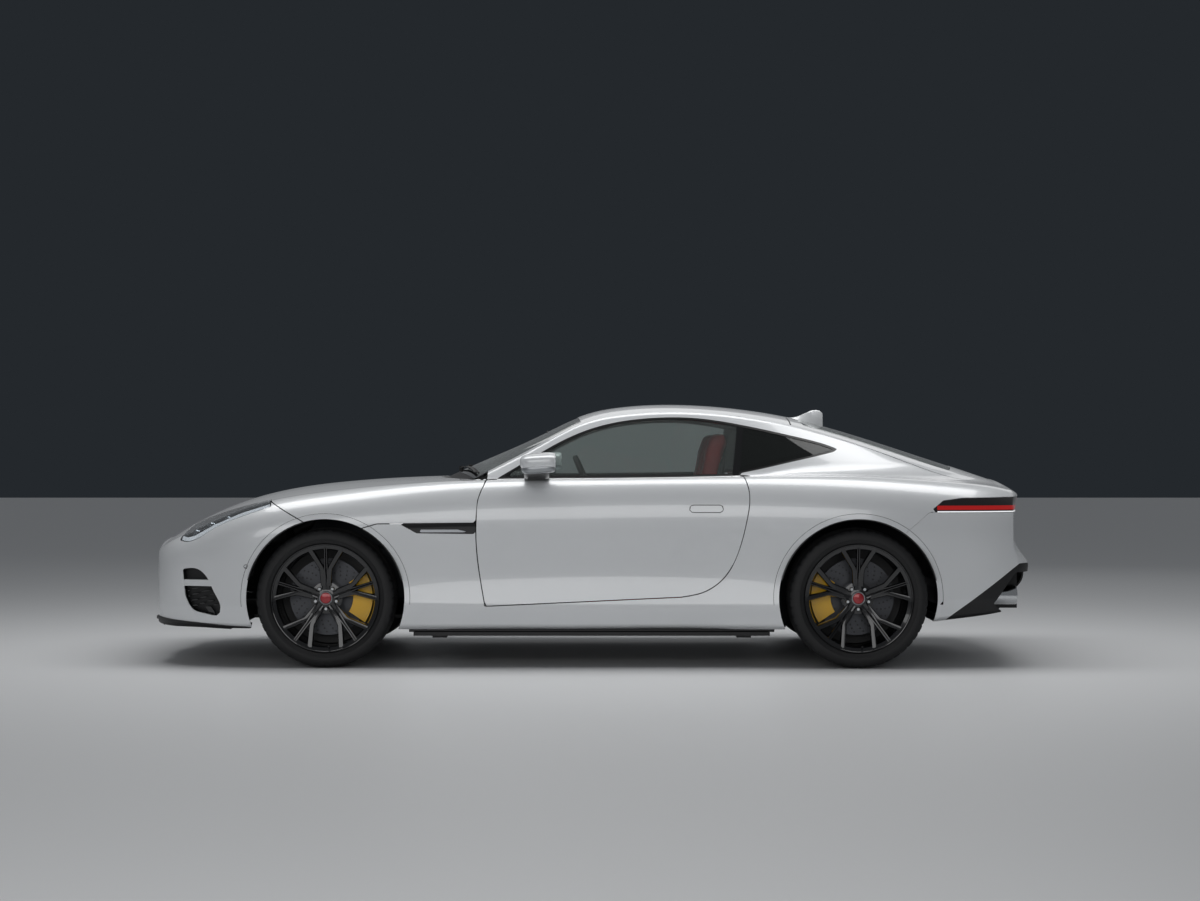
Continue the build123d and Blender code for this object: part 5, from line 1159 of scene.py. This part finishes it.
# Mouth: a mesh of six-sided cells in a frame, with a dark wall behind
CELL = 0.0128
mesh_places = []
for row in range(10):
    for col in range(-18, 19):
        y = col * CELL * 2 + (CELL if row % 2 else 0)
        z = 0.345 + row * CELL * 1.72
        if signed_distance(MOUTH, np.array([y]), np.array([z]))[0] < 0.004:
            mesh_places.append((float(nose_face(y, z)) - 0.040, y, z))
six = [math.pi / 6 + math.pi / 3 * k for k in range(6)]
cell = sweep([(0, CELL * 1.12 * math.cos(a), CELL * 1.12 * math.sin(a)) for a in six],
             [(0.0016, 0.005), (0.0016, -0.005), (-0.0016, -0.005), (-0.0016, 0.005)], (1, 0, 0), True)
mouth_mesh = repeat("mouth_mesh", mesh_places, [(0, 0, 0)] * len(mesh_places), cell, GLOSS_BLACK)
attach(mouth_mesh, "body")
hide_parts("grille")
mouth_frame = Mesh()
mouth_edge = [(float(nose_face(y, z)) - 0.010, y, z) for y, z in MOUTH]
mouth_frame.add(tube(mouth_edge, 0.007, 10, (1, 0, 0), True), GLOSS_BLACK)
MOUTH_WALL = [(float(nose_face(y, z)) - d, y, z) for d in (0.004, 0.060) for y, z in MOUTH]
count = len(MOUTH)
wall_faces = [[i, (i + 1) % count, count + (i + 1) % count, count + i] for i in range(count)]
mouth_frame.add((MOUTH_WALL, wall_faces + [[count + i for i in range(count)]]), SATIN_BLACK)
mouth_frame.place("mouth_frame", "body", (), "black_plastic")

# Tail and sills: fins under the wedge, skirt blades and bright exhaust tips
tail_fins = Mesh()
FIN_OUTLINE = [(-2.130, 0.345), (-1.800, 0.240), (-1.800, 0.205), (-2.080, 0.235), (-2.150, 0.305)]
for y in (0.10, 0.22, 0.34):
    tail_fins.add(prism(FIN_OUTLINE, y - 0.006, y + 0.006, 0.002, lambda a, b, h: (a, h, b)), SATIN_BLACK,
                  (1, -1))
tail_fins.place("diffuser_fins", "body", (), "black_plastic")
skirts = Mesh()
skirts.add(slab((-0.902, 0.898), (0.800, 0.886), (0.176, 0.191), 0.004), SATIN_BLACK, (1, -1))
skirts.add(slab((-0.880, 0.876), (0.868, 0.886), (0.157, 0.184), 0.004), SATIN_BLACK, (1, -1))
skirts.place("skirt_blades", "body", ("side_skirts",), "black_plastic")
tips = Mesh()
TIP_Z = 0.340
TIP = [(0.0475, 0.004), (0.0475, 0.15), (0.040, 0.15), (0.040, 0.012), (0.042, 0.002), (0.045, 0.0)]
for x, y in ((-2.160, 0.470), (-2.146, 0.585)):
    tips.add(along_x(lathe(TIP, 40, (0, 0, 0)), (x, y, TIP_Z)), CHROME, (1, -1))
    tips.add(tube([(x + 0.10, y, TIP_Z), (x + 0.32, y, TIP_Z)], 0.036, 24), STEEL, (1, -1))
tips.add(slab((-1.95, -1.735), (-0.60, 0.60), (0.298, 0.406), 0.045), STEEL)
# Black bay that the tips stand in
tips.add(slab((-1.992, -1.982), (0.385, 0.690), (0.262, 0.476)), SATIN_BLACK, (1, -1))
tips.add(slab((-2.185, -1.982), (0.388, 0.398), (0.262, 0.476), 0.003), SATIN_BLACK, (1, -1))
tips.add(slab((-2.120, -1.982), (0.388, 0.670), (0.468, 0.476), 0.003), SATIN_BLACK, (1, -1))
tips.place("exhaust_tips", "body", ("exhaust",), "exhaust")


# Wheels: tyre, rim with three-pronged spokes, centre cap, nuts, valve and drilled disc

TYRE_R = 0.343
SPOKES = 5


def set_wheel(shape, turn, centre, hand):
    """A shape made with +Z radial and +Y outward, turned about the axle and put on a wheel."""
    v, faces = np.asarray(shape[0], float), shape[1]
    c, s = math.cos(turn), math.sin(turn)
    turned = np.stack([v[:, 0] * c + v[:, 2] * s, v[:, 1] * hand, v[:, 2] * c - v[:, 0] * s], axis=1)
    return turned + np.array(centre), faces if hand == 1 else [f[::-1] for f in faces]


def tyre_profile(half_width):
    """Half of the tyre's section from crown to bead, then its mirror image."""
    tread = half_width - 0.026
    side = [(TYRE_R, 0.0)]
    for y in (0.024, 0.066):
        side += [(TYRE_R - 0.0002, y - 0.005), (TYRE_R - 0.008, y - 0.004), (TYRE_R - 0.008, y + 0.004),
                 (TYRE_R - 0.0004, y + 0.005)]
    side += [(TYRE_R - 0.0025, tread - 0.006), (TYRE_R - 0.0045, tread + 0.004),
             (TYRE_R - 0.011, tread + 0.014),
             (TYRE_R - 0.022, half_width - 0.0045), (TYRE_R - 0.034, half_width - 0.0008),
             (TYRE_R - 0.040, half_width),
             (TYRE_R - 0.052, half_width - 0.001), (TYRE_R - 0.054, half_width - 0.003),
             (TYRE_R - 0.066, half_width - 0.008),
             (TYRE_R - 0.073, half_width - 0.0135), (TYRE_R - 0.0755, half_width - 0.020)]
    return side + [(r, -y) for r, y in side[:0:-1]]


def shoulder_cuts(profile):
    """Each sixth step is cut across the shoulder blocks."""
    p = np.array(profile)
    shoulder = (np.abs(p[:, 1]) > np.max(p[:, 1]) - 0.055) & (p[:, 0] > TYRE_R - 0.014)
    return lambda k: np.where(shoulder & (k % 6 == 0), -0.0045, 0.0)


def rim_profile(h):
    """Rim section from the outer flange through the barrel to the inner flange."""
    outside = [(0.2670, h + 0.002), (0.2655, h + 0.005), (0.2620, h + 0.004), (0.2600, h - 0.004),
               (0.2440, h - 0.012),
               (0.2380, h - 0.030), (0.2470, h - 0.050), (0.2470, -h + 0.030), (0.2520, -h + 0.012),
               (0.2580, -h + 0.002), (0.2640, -h),
               (0.2670, -h + 0.003), (0.2620, -h + 0.016), (0.2560, -h + 0.034), (0.2570, h - 0.040),
               (0.2630, h - 0.012)]
    return outside


def prong(path, widths, groove, drop):
    """A spoke's prong: bevelled on top, with a groove along the middle one."""
    top = [(0.32, 0.0), (0.0, -0.0045), (-0.32, 0.0)] if groove else [(0.0, 0.0005)]
    section = [(-1, -drop), (1, -drop), (1, -0.008), (0.70, 0.0)] + top + [(-0.70, 0.0), (-1, -0.008)]
    return sweep(path, section, (0, 1, 0), False, [(w, 1.0) for w in widths])


def spoke(h):
    """The three prongs of one spoke, from the hub out to the rim."""
    radii = np.linspace(0.040, 0.256, 14)

    def face(r):
        return h - 0.036 + 0.030 * ((r - 0.04) / 0.216) ** 1.6

    middle = [(0, face(r), r) for r in radii]
    shapes = [prong(middle, np.interp(radii, [0.04, 0.11, 0.16, 0.256], [0.024, 0.018, 0.0105, 0.0100]),
                    True, 0.034)]
    arms = np.linspace(0.060, 0.253, 16)
    for lean in (1, -1):
        path = []
        for r in arms:
            off = float(np.interp(r, [0.060, 0.138, 0.150, 0.253], [0.014, 0.0195, 0.0225, 0.0790]))
            path.append((lean * off, face(r) - 0.001, math.sqrt(r * r - off * off)))
        shapes.append(prong(path, np.interp(arms, [0.060, 0.138, 0.253], [0.0130, 0.0125, 0.0140]), False,
                            0.036))
    return shapes


HUB = [(0.0005, -0.034), (0.078, -0.046), (0.080, -0.100), (0.0005, -0.100)]
NUT = [(0.0005, 0.016), (0.0075, 0.016), (0.0105, 0.012), (0.0115, 0.0), (0.0005, 0.0)]
for end, axle, half_track, half_width in (("front", FRONT_AXLE, 0.792, 0.1275),
                                          ("rear", REAR_AXLE, 0.808, 0.1475)):
    h = half_width - 0.018
    for side_name, hand in (("left", 1), ("right", -1)):
        label = f"{end}_{side_name}"
        body_name = f"wheel_{label}"
        centre = (axle, hand * half_track, HUB_Z)
        profile = tyre_profile(half_width)
        tyre = Mesh().add(lathe(profile, 288, centre, shoulder_cuts(profile)), RUBBER)
        tyre.place(f"tyre_{label}_tread", body_name, (f"tyre_{label}",), "tyre")
        rim = Mesh().add(set_wheel(lathe(rim_profile(h), 120, (0, 0, 0)), 0, centre, hand), RIM_BLACK)
        hub = [(r, h + y) for r, y in HUB]
        rim.add(set_wheel(lathe(hub, 60, (0, 0, 0)), 0, centre, hand), RIM_BLACK)
        for k in range(SPOKES):
            for shape in spoke(h):
                rim.add(set_wheel(shape, 2 * math.pi * k / SPOKES, centre, hand), RIM_BLACK)
        rim.place(f"rim_{label}_spokes", body_name, (f"rim_{label}",), "rim")
        cap = Mesh()
        disc_cap = [(0.0005, h - 0.019), (0.016, h - 0.0195), (0.025, h - 0.022), (0.0275, h - 0.025),
                    (0.0275, h - 0.050), (0.0005, h - 0.050)]
        bezel = [(0.0275, h - 0.040), (0.0275, h - 0.022), (0.030, h - 0.0205), (0.0325, h - 0.022),
                 (0.0335, h - 0.040)]
        cap.add(set_wheel(lathe(disc_cap, 48, (0, 0, 0)), 0, centre, hand), CAP_RED)
        cap.add(set_wheel(lathe(bezel, 48, (0, 0, 0)), 0, centre, hand), SILVER)
        valve = tube([(0, h - 0.030, -0.248), (0, h + 0.002, -0.236)], 0.004, 10)
        cap.add(set_wheel(valve, math.radians(4), centre, hand), SATIN_BLACK)
        cap.place(f"wheel_cap_{label}", body_name, (), "rim")
        angles = [2 * math.pi * (k + 0.5) / SPOKES for k in range(SPOKES)]
        nut_y = centre[1] + hand * (h - 0.044)
        places = [(axle + 0.054 * math.sin(a), nut_y, HUB_Z + 0.054 * math.cos(a)) for a in angles]
        nut = lathe(NUT, 6, (0, 0, 0))
        nuts = repeat(f"wheel_nuts_{label}", places,
                      [(0, a, 0) if hand == 1 else (0, a, math.pi) for a in angles], nut, CHROME)
        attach(nuts, body_name)
        face_y = centre[1] + hand * (-0.040 + 0.0178)
        holes = []
        for row, radius in enumerate((0.122, 0.140, 0.158, 0.175)):
            for k in range(24):
                a = 2 * math.pi * (k + row * 0.28) / 24
                holes.append((axle + radius * math.sin(a), face_y, HUB_Z + radius * math.cos(a)))
        # Each hole is a flat black dot on the disc face: painted shade in place of the hole's depth.
        dot = lathe([(0.0001, 0.0004), (0.0040, 0.0004), (0.0042, 0.0), (0.0001, 0.0)], 12, (0, 0, 0))
        drilled = repeat(f"disc_holes_{label}", holes,
                         [(0, 0, 0) if hand == 1 else (0, 0, math.pi)] * len(holes), dot, SATIN_BLACK)
        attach(drilled, body_name)

# Dust shields behind the discs
def shield(half_width):
    flange = -half_width - 0.009
    return [(0.050, -0.100), (0.236, -0.100), (0.242, -0.104), (0.243, flange), (0.257, flange),
            (0.257, flange - 0.003),
            (0.240, flange - 0.003), (0.237, -0.103), (0.050, -0.103)]


for side_name, hand in (("left", 1), ("right", -1)):
    front = set_wheel(lathe(shield(0.1095), 72, (0, 0, 0)), 0, (FRONT_AXLE, hand * 0.792, HUB_Z), hand)
    Mesh().add(front, SATIN_BLACK).place(f"dust_shield_front_{side_name}", f"knuckle_{side_name}", (),
                                         "tub")
    rear = set_wheel(lathe(shield(0.1295), 72, (0, 0, 0)), 0, (REAR_AXLE, hand * 0.808, HUB_Z), hand)
    Mesh().add(rear, SATIN_BLACK).place(f"dust_shield_rear_{side_name}", "body", (), "tub")


# Cabin: seats, steering wheel, dash and console fittings, door cards


def pad(path, widths, thick, bolster, centre_y, flutes):
    """A sewn cushion along a side-view path: rounded ends, raised bolsters, sewn channels between."""
    line = np.array(bend(path, 14))
    count = len(line)
    t = np.gradient(line, axis=0)
    t /= np.linalg.norm(t, axis=1, keepdims=True)
    run = np.linspace(0, 1, count)
    width = np.interp(run, np.linspace(0, 1, len(widths)), widths)
    raise_by = np.interp(run, np.linspace(0, 1, len(bolster)), bolster)
    around = 84
    v = []
    for i in range(count):
        edge = min(run[i], 1 - run[i]) / 0.07
        fade = math.sqrt(max(0.02, 1 - (1 - min(edge, 1.0)) ** 2))
        for k in range(around):
            a = 2 * math.pi * k / around
            ca, sa = math.cos(a), math.sin(a)
            u = math.copysign(abs(ca) ** 0.62, ca)
            n = thick / 2 * math.copysign(abs(sa) ** 0.62, sa) * fade
            if sa > 0:
                wing = min(1.0, max(0.0, (abs(u) - 0.50) / 0.30))
                wing = wing * wing * (3 - 2 * wing) * (1 - max(0.0, (abs(u) - 0.86) / 0.14) ** 2 * 0.5)
                n += raise_by[i] * wing * fade
                seam = math.exp(-((abs(u) - 0.53) / 0.03) ** 2)
                channel = abs(math.sin(math.pi * flutes * run[i])) ** 0.5 if abs(u) < 0.52 else 1.0
                n -= (0.010 * seam + 0.009 * (1 - channel) * sa) * fade
                n += 0.010 * (1 - u * u) * fade
            x = line[i, 0] + t[i, 1] * (n - thick / 2)
            z = line[i, 1] - t[i, 0] * (n - thick / 2)
            v.append((x, centre_y + width[i] * u * (0.86 + 0.14 * fade), z))
    faces = [[i * around + k, i * around + (k + 1) % around, (i + 1) * around + (k + 1) % around,
              (i + 1) * around + k]
             for i in range(count - 1) for k in range(around)]
    faces += [list(range(around))[::-1], [(count - 1) * around + k for k in range(around)]]
    return v, faces


SEAT_Y = 0.372
BACK_PATH = [(-0.462, 0.425), (-0.490, 0.560), (-0.522, 0.720), (-0.556, 0.880), (-0.580, 1.000),
             (-0.600, 1.100), (-0.640, 1.170)]
CUSHION_PATH = [(0.082, 0.340), (0.060, 0.395), (-0.020, 0.418), (-0.180, 0.405), (-0.330, 0.392),
                (-0.455, 0.398)]
for side_name, hand in (("left", 1), ("right", -1)):
    back = pad(BACK_PATH, (0.212, 0.218, 0.220, 0.196, 0.136, 0.124, 0.100), 0.085,
               (0.020, 0.050, 0.055, 0.040, 0.012, 0.006, 0.0),
               hand * SEAT_Y, 9)
    cushion = pad(CUSHION_PATH, (0.205, 0.216, 0.218, 0.216, 0.205), 0.130,
                  (0.010, 0.040, 0.048, 0.040, 0.020), hand * SEAT_Y, 7)
    piece = Mesh().add(back, RED_LEATHER).place(f"seat_back_{side_name}", "body", ("seats",), "leather")
    piece = Mesh().add(cushion, RED_LEATHER).place(f"seat_cushion_{side_name}", "body", (), "leather")
    base = Mesh().add(slab((-0.52, 0.06), (hand * SEAT_Y - 0.19, hand * SEAT_Y + 0.19), (0.202, 0.300),
                           0.03), SATIN_BLACK)
    shell_back = pad([(-0.520, 0.360), (-0.560, 0.560), (-0.592, 0.740), (-0.628, 0.920), (-0.655, 1.040)],
                     (0.205, 0.215, 0.215, 0.170, 0.120), 0.040, (0.0, 0.0), hand * SEAT_Y, 0)
    base.add(shell_back, BLACK_LEATHER)
    base.add(tube([(-0.16, hand * SEAT_Y - 0.228, 0.36), (-0.40, hand * SEAT_Y - 0.228, 0.38)], 0.012),
             SATIN_BLACK)
    base.place(f"seat_shell_{side_name}", "body", (), "leather")

STEER_HUB = np.array((0.010, SEAT_Y, 0.868))
STEER_TILT = math.radians(24)
steer_axis = np.array((-math.cos(STEER_TILT), 0, math.sin(STEER_TILT)))
steer_up = np.array((math.sin(STEER_TILT), 0, math.cos(STEER_TILT)))
steer_side = np.array((0.0, 1.0, 0.0))


def on_wheel(a, b, h):
    """A point on the steering wheel: across, up and towards the driver."""
    return STEER_HUB + steer_side * a + steer_up * b + steer_axis * h


wheel = Mesh()
turns = np.linspace(0, 2 * math.pi, 73)[:-1]
wheel.add(tube([on_wheel(0.178 * math.sin(a), 0.178 * math.cos(a), 0) for a in turns], 0.0150, 16,
               steer_axis, True), BLACK_LEATHER)
for a in (math.pi / 2, -math.pi / 2):
    arm = [on_wheel(r * math.sin(a), r * math.cos(a) - 0.018 * (1 - r / 0.178), 0.002)
           for r in np.linspace(0.03, 0.172, 8)]
    wheel.add(sweep(arm, [(0.019, -0.006), (0.019, 0.003), (0.013, 0.007), (-0.013, 0.007),
                          (-0.019, 0.003), (-0.019, -0.006)], steer_axis),
              SATIN_BLACK)
for lean in (-0.02, 0.02):
    arm = [on_wheel(lean + lean * r * 4, -r, 0.002) for r in np.linspace(0.03, 0.172, 8)]
    wheel.add(sweep(arm, [(0.007, -0.006), (0.007, 0.006), (-0.007, 0.006), (-0.007, -0.006)], steer_axis),
              SILVER)
pad_outline = [(0.066 * math.copysign(abs(math.cos(a)) ** 0.7, math.cos(a)), 0.056 * math.sin(a) - 0.006)
               for a in np.linspace(0, 2 * math.pi, 49)[:-1]]
wheel.add(prism(pad_outline, -0.014, 0.016, 0.012, on_wheel), BLACK_LEATHER)
badge = [(0.020 * math.cos(a), 0.020 * math.sin(a)) for a in np.linspace(0, 2 * math.pi, 33)[:-1]]
wheel.add(prism(badge, 0.010, 0.018, 0.002, on_wheel), SILVER)
wheel.place("steering_wheel_trim", "steering_wheel", ("steering_wheel",), "dash")

fittings = Mesh()
SCREEN_TILT = math.radians(12)


def on_dash(a, b, h):
    """A point on the dash's upright face: across, up along the face and out of it."""
    return (0.300 + b * math.sin(SCREEN_TILT) - h * math.cos(SCREEN_TILT), a,
            0.800 + b * math.cos(SCREEN_TILT) + h * math.sin(SCREEN_TILT))


fittings.add(prism(rounded((-0.150, 0.150), (-0.020, 0.100), 0.012), -0.06, 0.014, 0.004, on_dash),
             GLOSS_BLACK)
fittings.add(prism(rounded((-0.138, 0.138), (-0.008, 0.088), 0.006), 0.010, 0.0146, 0.0005, on_dash), SMOKE)
for y in (-0.560, -0.330, 0.185, 0.600):
    fittings.add(prism(round_outline(y, 0.055, 0.038, 32), -0.05, 0.012, 0.004, on_dash), SILVER)
    fittings.add(prism(round_outline(y, 0.055, 0.030, 32), 0.008, 0.0126, 0.0005, on_dash), SATIN_BLACK)
for y in (-0.075, 0.0, 0.075):
    fittings.add(prism(round_outline(y, -0.075, 0.022, 28), -0.09, 0.020, 0.003, on_dash), SILVER)
fittings.add(pillow((0.300, SEAT_Y, 0.925), (0.030, 0.165, 0.034), 0, 0.5, 14, 36), BLACK_LEATHER)
fittings.add(tube([(0.325 + 0.05 * abs(y), y, 0.912) for y in np.linspace(-0.64, 0.14, 20)], 0.003, 8),
             RED_LEATHER)
fittings.add(pillow((-0.395, 0, 0.570), (0.190, 0.095, 0.034), 0, 0.4, 14, 30), BLACK_LEATHER)
fittings.add(slab((-0.185, 0.110), (-0.085, 0.085), (0.545, 0.566), 0.02), GLOSS_BLACK)
fittings.add(tube([(0.005, 0, 0.560), (-0.005, 0, 0.625)], 0.009), SILVER)
fittings.add(pillow((-0.010, 0, 0.648), (0.026, 0.020, 0.034), 8, 0.6, 14, 24), BLACK_LEATHER)
cup_v, cup_f = lathe([(0.030, -0.002), (0.034, -0.002), (0.034, 0.003), (0.030, 0.003)], 30, (0, 0, 0))
for x in (-0.125, -0.060):
    fittings.add((cup_v[:, [0, 2, 1]] + np.array((x, 0.045, 0.566)), cup_f), SILVER)
fittings.add(pillow((0.190, 0, 1.150), (0.010, 0.110, 0.030), -8, 0.45, 12, 30), GLOSS_BLACK)
fittings.add(tube([(0.200, 0, 1.165), (0.240, 0, 1.168)], 0.006), SATIN_BLACK)
fittings.place("cabin_fittings", "body", (), "dash")

for name, hand in (("door_left", 1), ("door_right", -1)):
    card = Mesh()
    card.add(pillow((-0.170, 0.733, 0.585), (0.330, 0.014, 0.080), 0, 0.35, 14, 40), RED_LEATHER, (hand,))
    card.add(pillow((-0.180, 0.712, 0.690), (0.250, 0.036, 0.026), 0, 0.4, 14, 40), BLACK_LEATHER, (hand,))
    card.add(pillow((-0.100, 0.737, 0.800), (0.420, 0.012, 0.075), 0, 0.35, 14, 40), BLACK_LEATHER, (hand,))
    card.add(tube([(0.100, 0.728, 0.770), (0.160, 0.718, 0.778), (0.220, 0.728, 0.782)], 0.007), SILVER,
             (hand,))
    card.add(pillow((0.235, 0.735, 0.470), (0.085, 0.010, 0.085), 0, 0.7, 14, 30), SATIN_BLACK, (hand,))
    card.place(name + "_card", name, (), "dash")

# Engine bay: a ribbed cover over the block, air boxes, a brace and plates that close the hinge pillars
bay = Mesh()
bay.add(slab((0.860, 1.440), (-0.270, 0.270), (0.796, 0.818), 0.04), GLOSS_BLACK)
for y in np.linspace(-0.20, 0.20, 9):
    bay.add(slab((0.900, 1.400), (y - 0.008, y + 0.008), (0.814, 0.824), 0.004), SATIN_BLACK)
for hand in (1, -1):
    bay.add(pillow((1.700, hand * 0.330, 0.640), (0.150, 0.160, 0.055), 0, 0.4, 16, 36), SATIN_BLACK)
    bay.add(tube([(1.560, hand * 0.300, 0.650), (1.480, hand * 0.240, 0.690),
                  (1.420, hand * 0.200, 0.760)], 0.036, 20), SATIN_BLACK)
    # The left tank is drawn in the glowing lamp material though it is no lamp: painted light.
    bay.add(pillow((0.960, hand * 0.480, 0.730), (0.070, 0.070, 0.070), 0, 0.5, 16, 30),
            LAMP_WHITE if hand == 1 else SATIN_BLACK)
    bay.add(tube([(0.960, hand * 0.480, 0.780), (0.960, hand * 0.480, 0.812)], 0.026, 20, (1, 0, 0)),
            SATIN_BLACK)
bay.add(slab((1.560, 1.600), (-0.430, 0.430), (0.690, 0.705), 0.01), SILVER)
PILLAR_FACE = [(0.640, 0.300), (0.855, 0.300), (0.862, 0.690), (0.828, 0.770), (0.760, 0.830),
               (0.640, 0.850)]
bay.add(prism(PILLAR_FACE, 0.600, 0.606, 0.001, lambda a, b, h: (h, a, b)), SATIN_BLACK, (1, -1))
bay.place("engine_cover", "body", (), "engine")


# CAD nodes that show as they are

FINISH = {
    "undertray": SATIN_BLACK, "front_splitter": SATIN_BLACK,
    "jack_pads": RUBBER, "wheel_liners": SATIN_BLACK, "tub": CARPET, "dashboard": BLACK_LEATHER,
    "console": BLACK_LEATHER,
    "rear_uprights": DARK_METAL, "front_subframe": DARK_METAL,
    "rear_subframe": DARK_METAL, "engine": DARK_METAL, "nose_frame": DARK_METAL, "roof_header": SATIN_BLACK,
    "knuckle_left": DARK_METAL, "knuckle_right": DARK_METAL,
    "rear_calipers": YELLOW, "caliper_front_left": YELLOW, "caliper_front_right": YELLOW,
}
for end in ("front", "rear"):
    for hand in ("left", "right"):
        FINISH[f"disc_{end}_{hand}"] = DISC_IRON
for name, mat in FINISH.items():
    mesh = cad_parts[name].data
    mesh.materials.clear()
    mesh.materials.append(mat)


# Stage: floor, lights and camera

bpy.ops.mesh.primitive_plane_add(size=80)
floor = bpy.context.object
floor.name = "floor"
floor.data.materials.append(material("pale_floor", "#d9dadb", 0.5))
world = bpy.data.worlds.new("studio")
bpy.context.scene.world = world
world.use_nodes = True
tree = world.node_tree
room = tree.nodes["Background"]
room.inputs["Color"].default_value = linear("#dfe3e8")
room.inputs["Strength"].default_value = 0.2
# The camera sees a dark backdrop; all other rays see the pale room
backdrop = tree.nodes.new("ShaderNodeBackground")
backdrop.inputs["Color"].default_value = linear("#24282c")
ray = tree.nodes.new("ShaderNodeLightPath")
choice = tree.nodes.new("ShaderNodeMixShader")
tree.links.new(ray.outputs["Is Camera Ray"], choice.inputs["Fac"])
tree.links.new(room.outputs["Background"], choice.inputs[1])
tree.links.new(backdrop.outputs["Background"], choice.inputs[2])
tree.links.new(choice.outputs["Shader"], tree.nodes["World Output"].inputs["Surface"])


def softbox(name, place, target, size_x, size_y, power):
    light = bpy.data.lights.new(name, "AREA")
    light.shape = "RECTANGLE"
    light.size, light.size_y, light.energy = size_x, size_y, power
    lamp_object = bpy.data.objects.new(name, light)
    lamp_object.location = place
    lamp_object.rotation_euler = (Vector(target) - Vector(place)).to_track_quat("-Z", "Y").to_euler()
    bpy.context.collection.objects.link(lamp_object)


softbox("overhead", (0, 0.2, 4.6), (0, 0.1, 0), 7.0, 2.6, 185)
softbox("key", (1.5, 9.5, 2.4), (0, 0, 0.5), 9.0, 2.6, 140)
softbox("back", (-2.0, -8.0, 4.5), (0, 0, 0.8), 8.0, 2.5, 35)

camera = bpy.data.objects.new("camera", bpy.data.cameras.new("camera"))
camera.data.sensor_width = 36.0
camera.data.lens = 69.15
camera.location = (-0.043, 12.24, 1.07)
camera.rotation_euler = (math.radians(90), 0, math.radians(180))
bpy.context.collection.objects.link(camera)
bpy.context.scene.camera = camera
bpy.context.scene.view_settings.view_transform = "Standard"
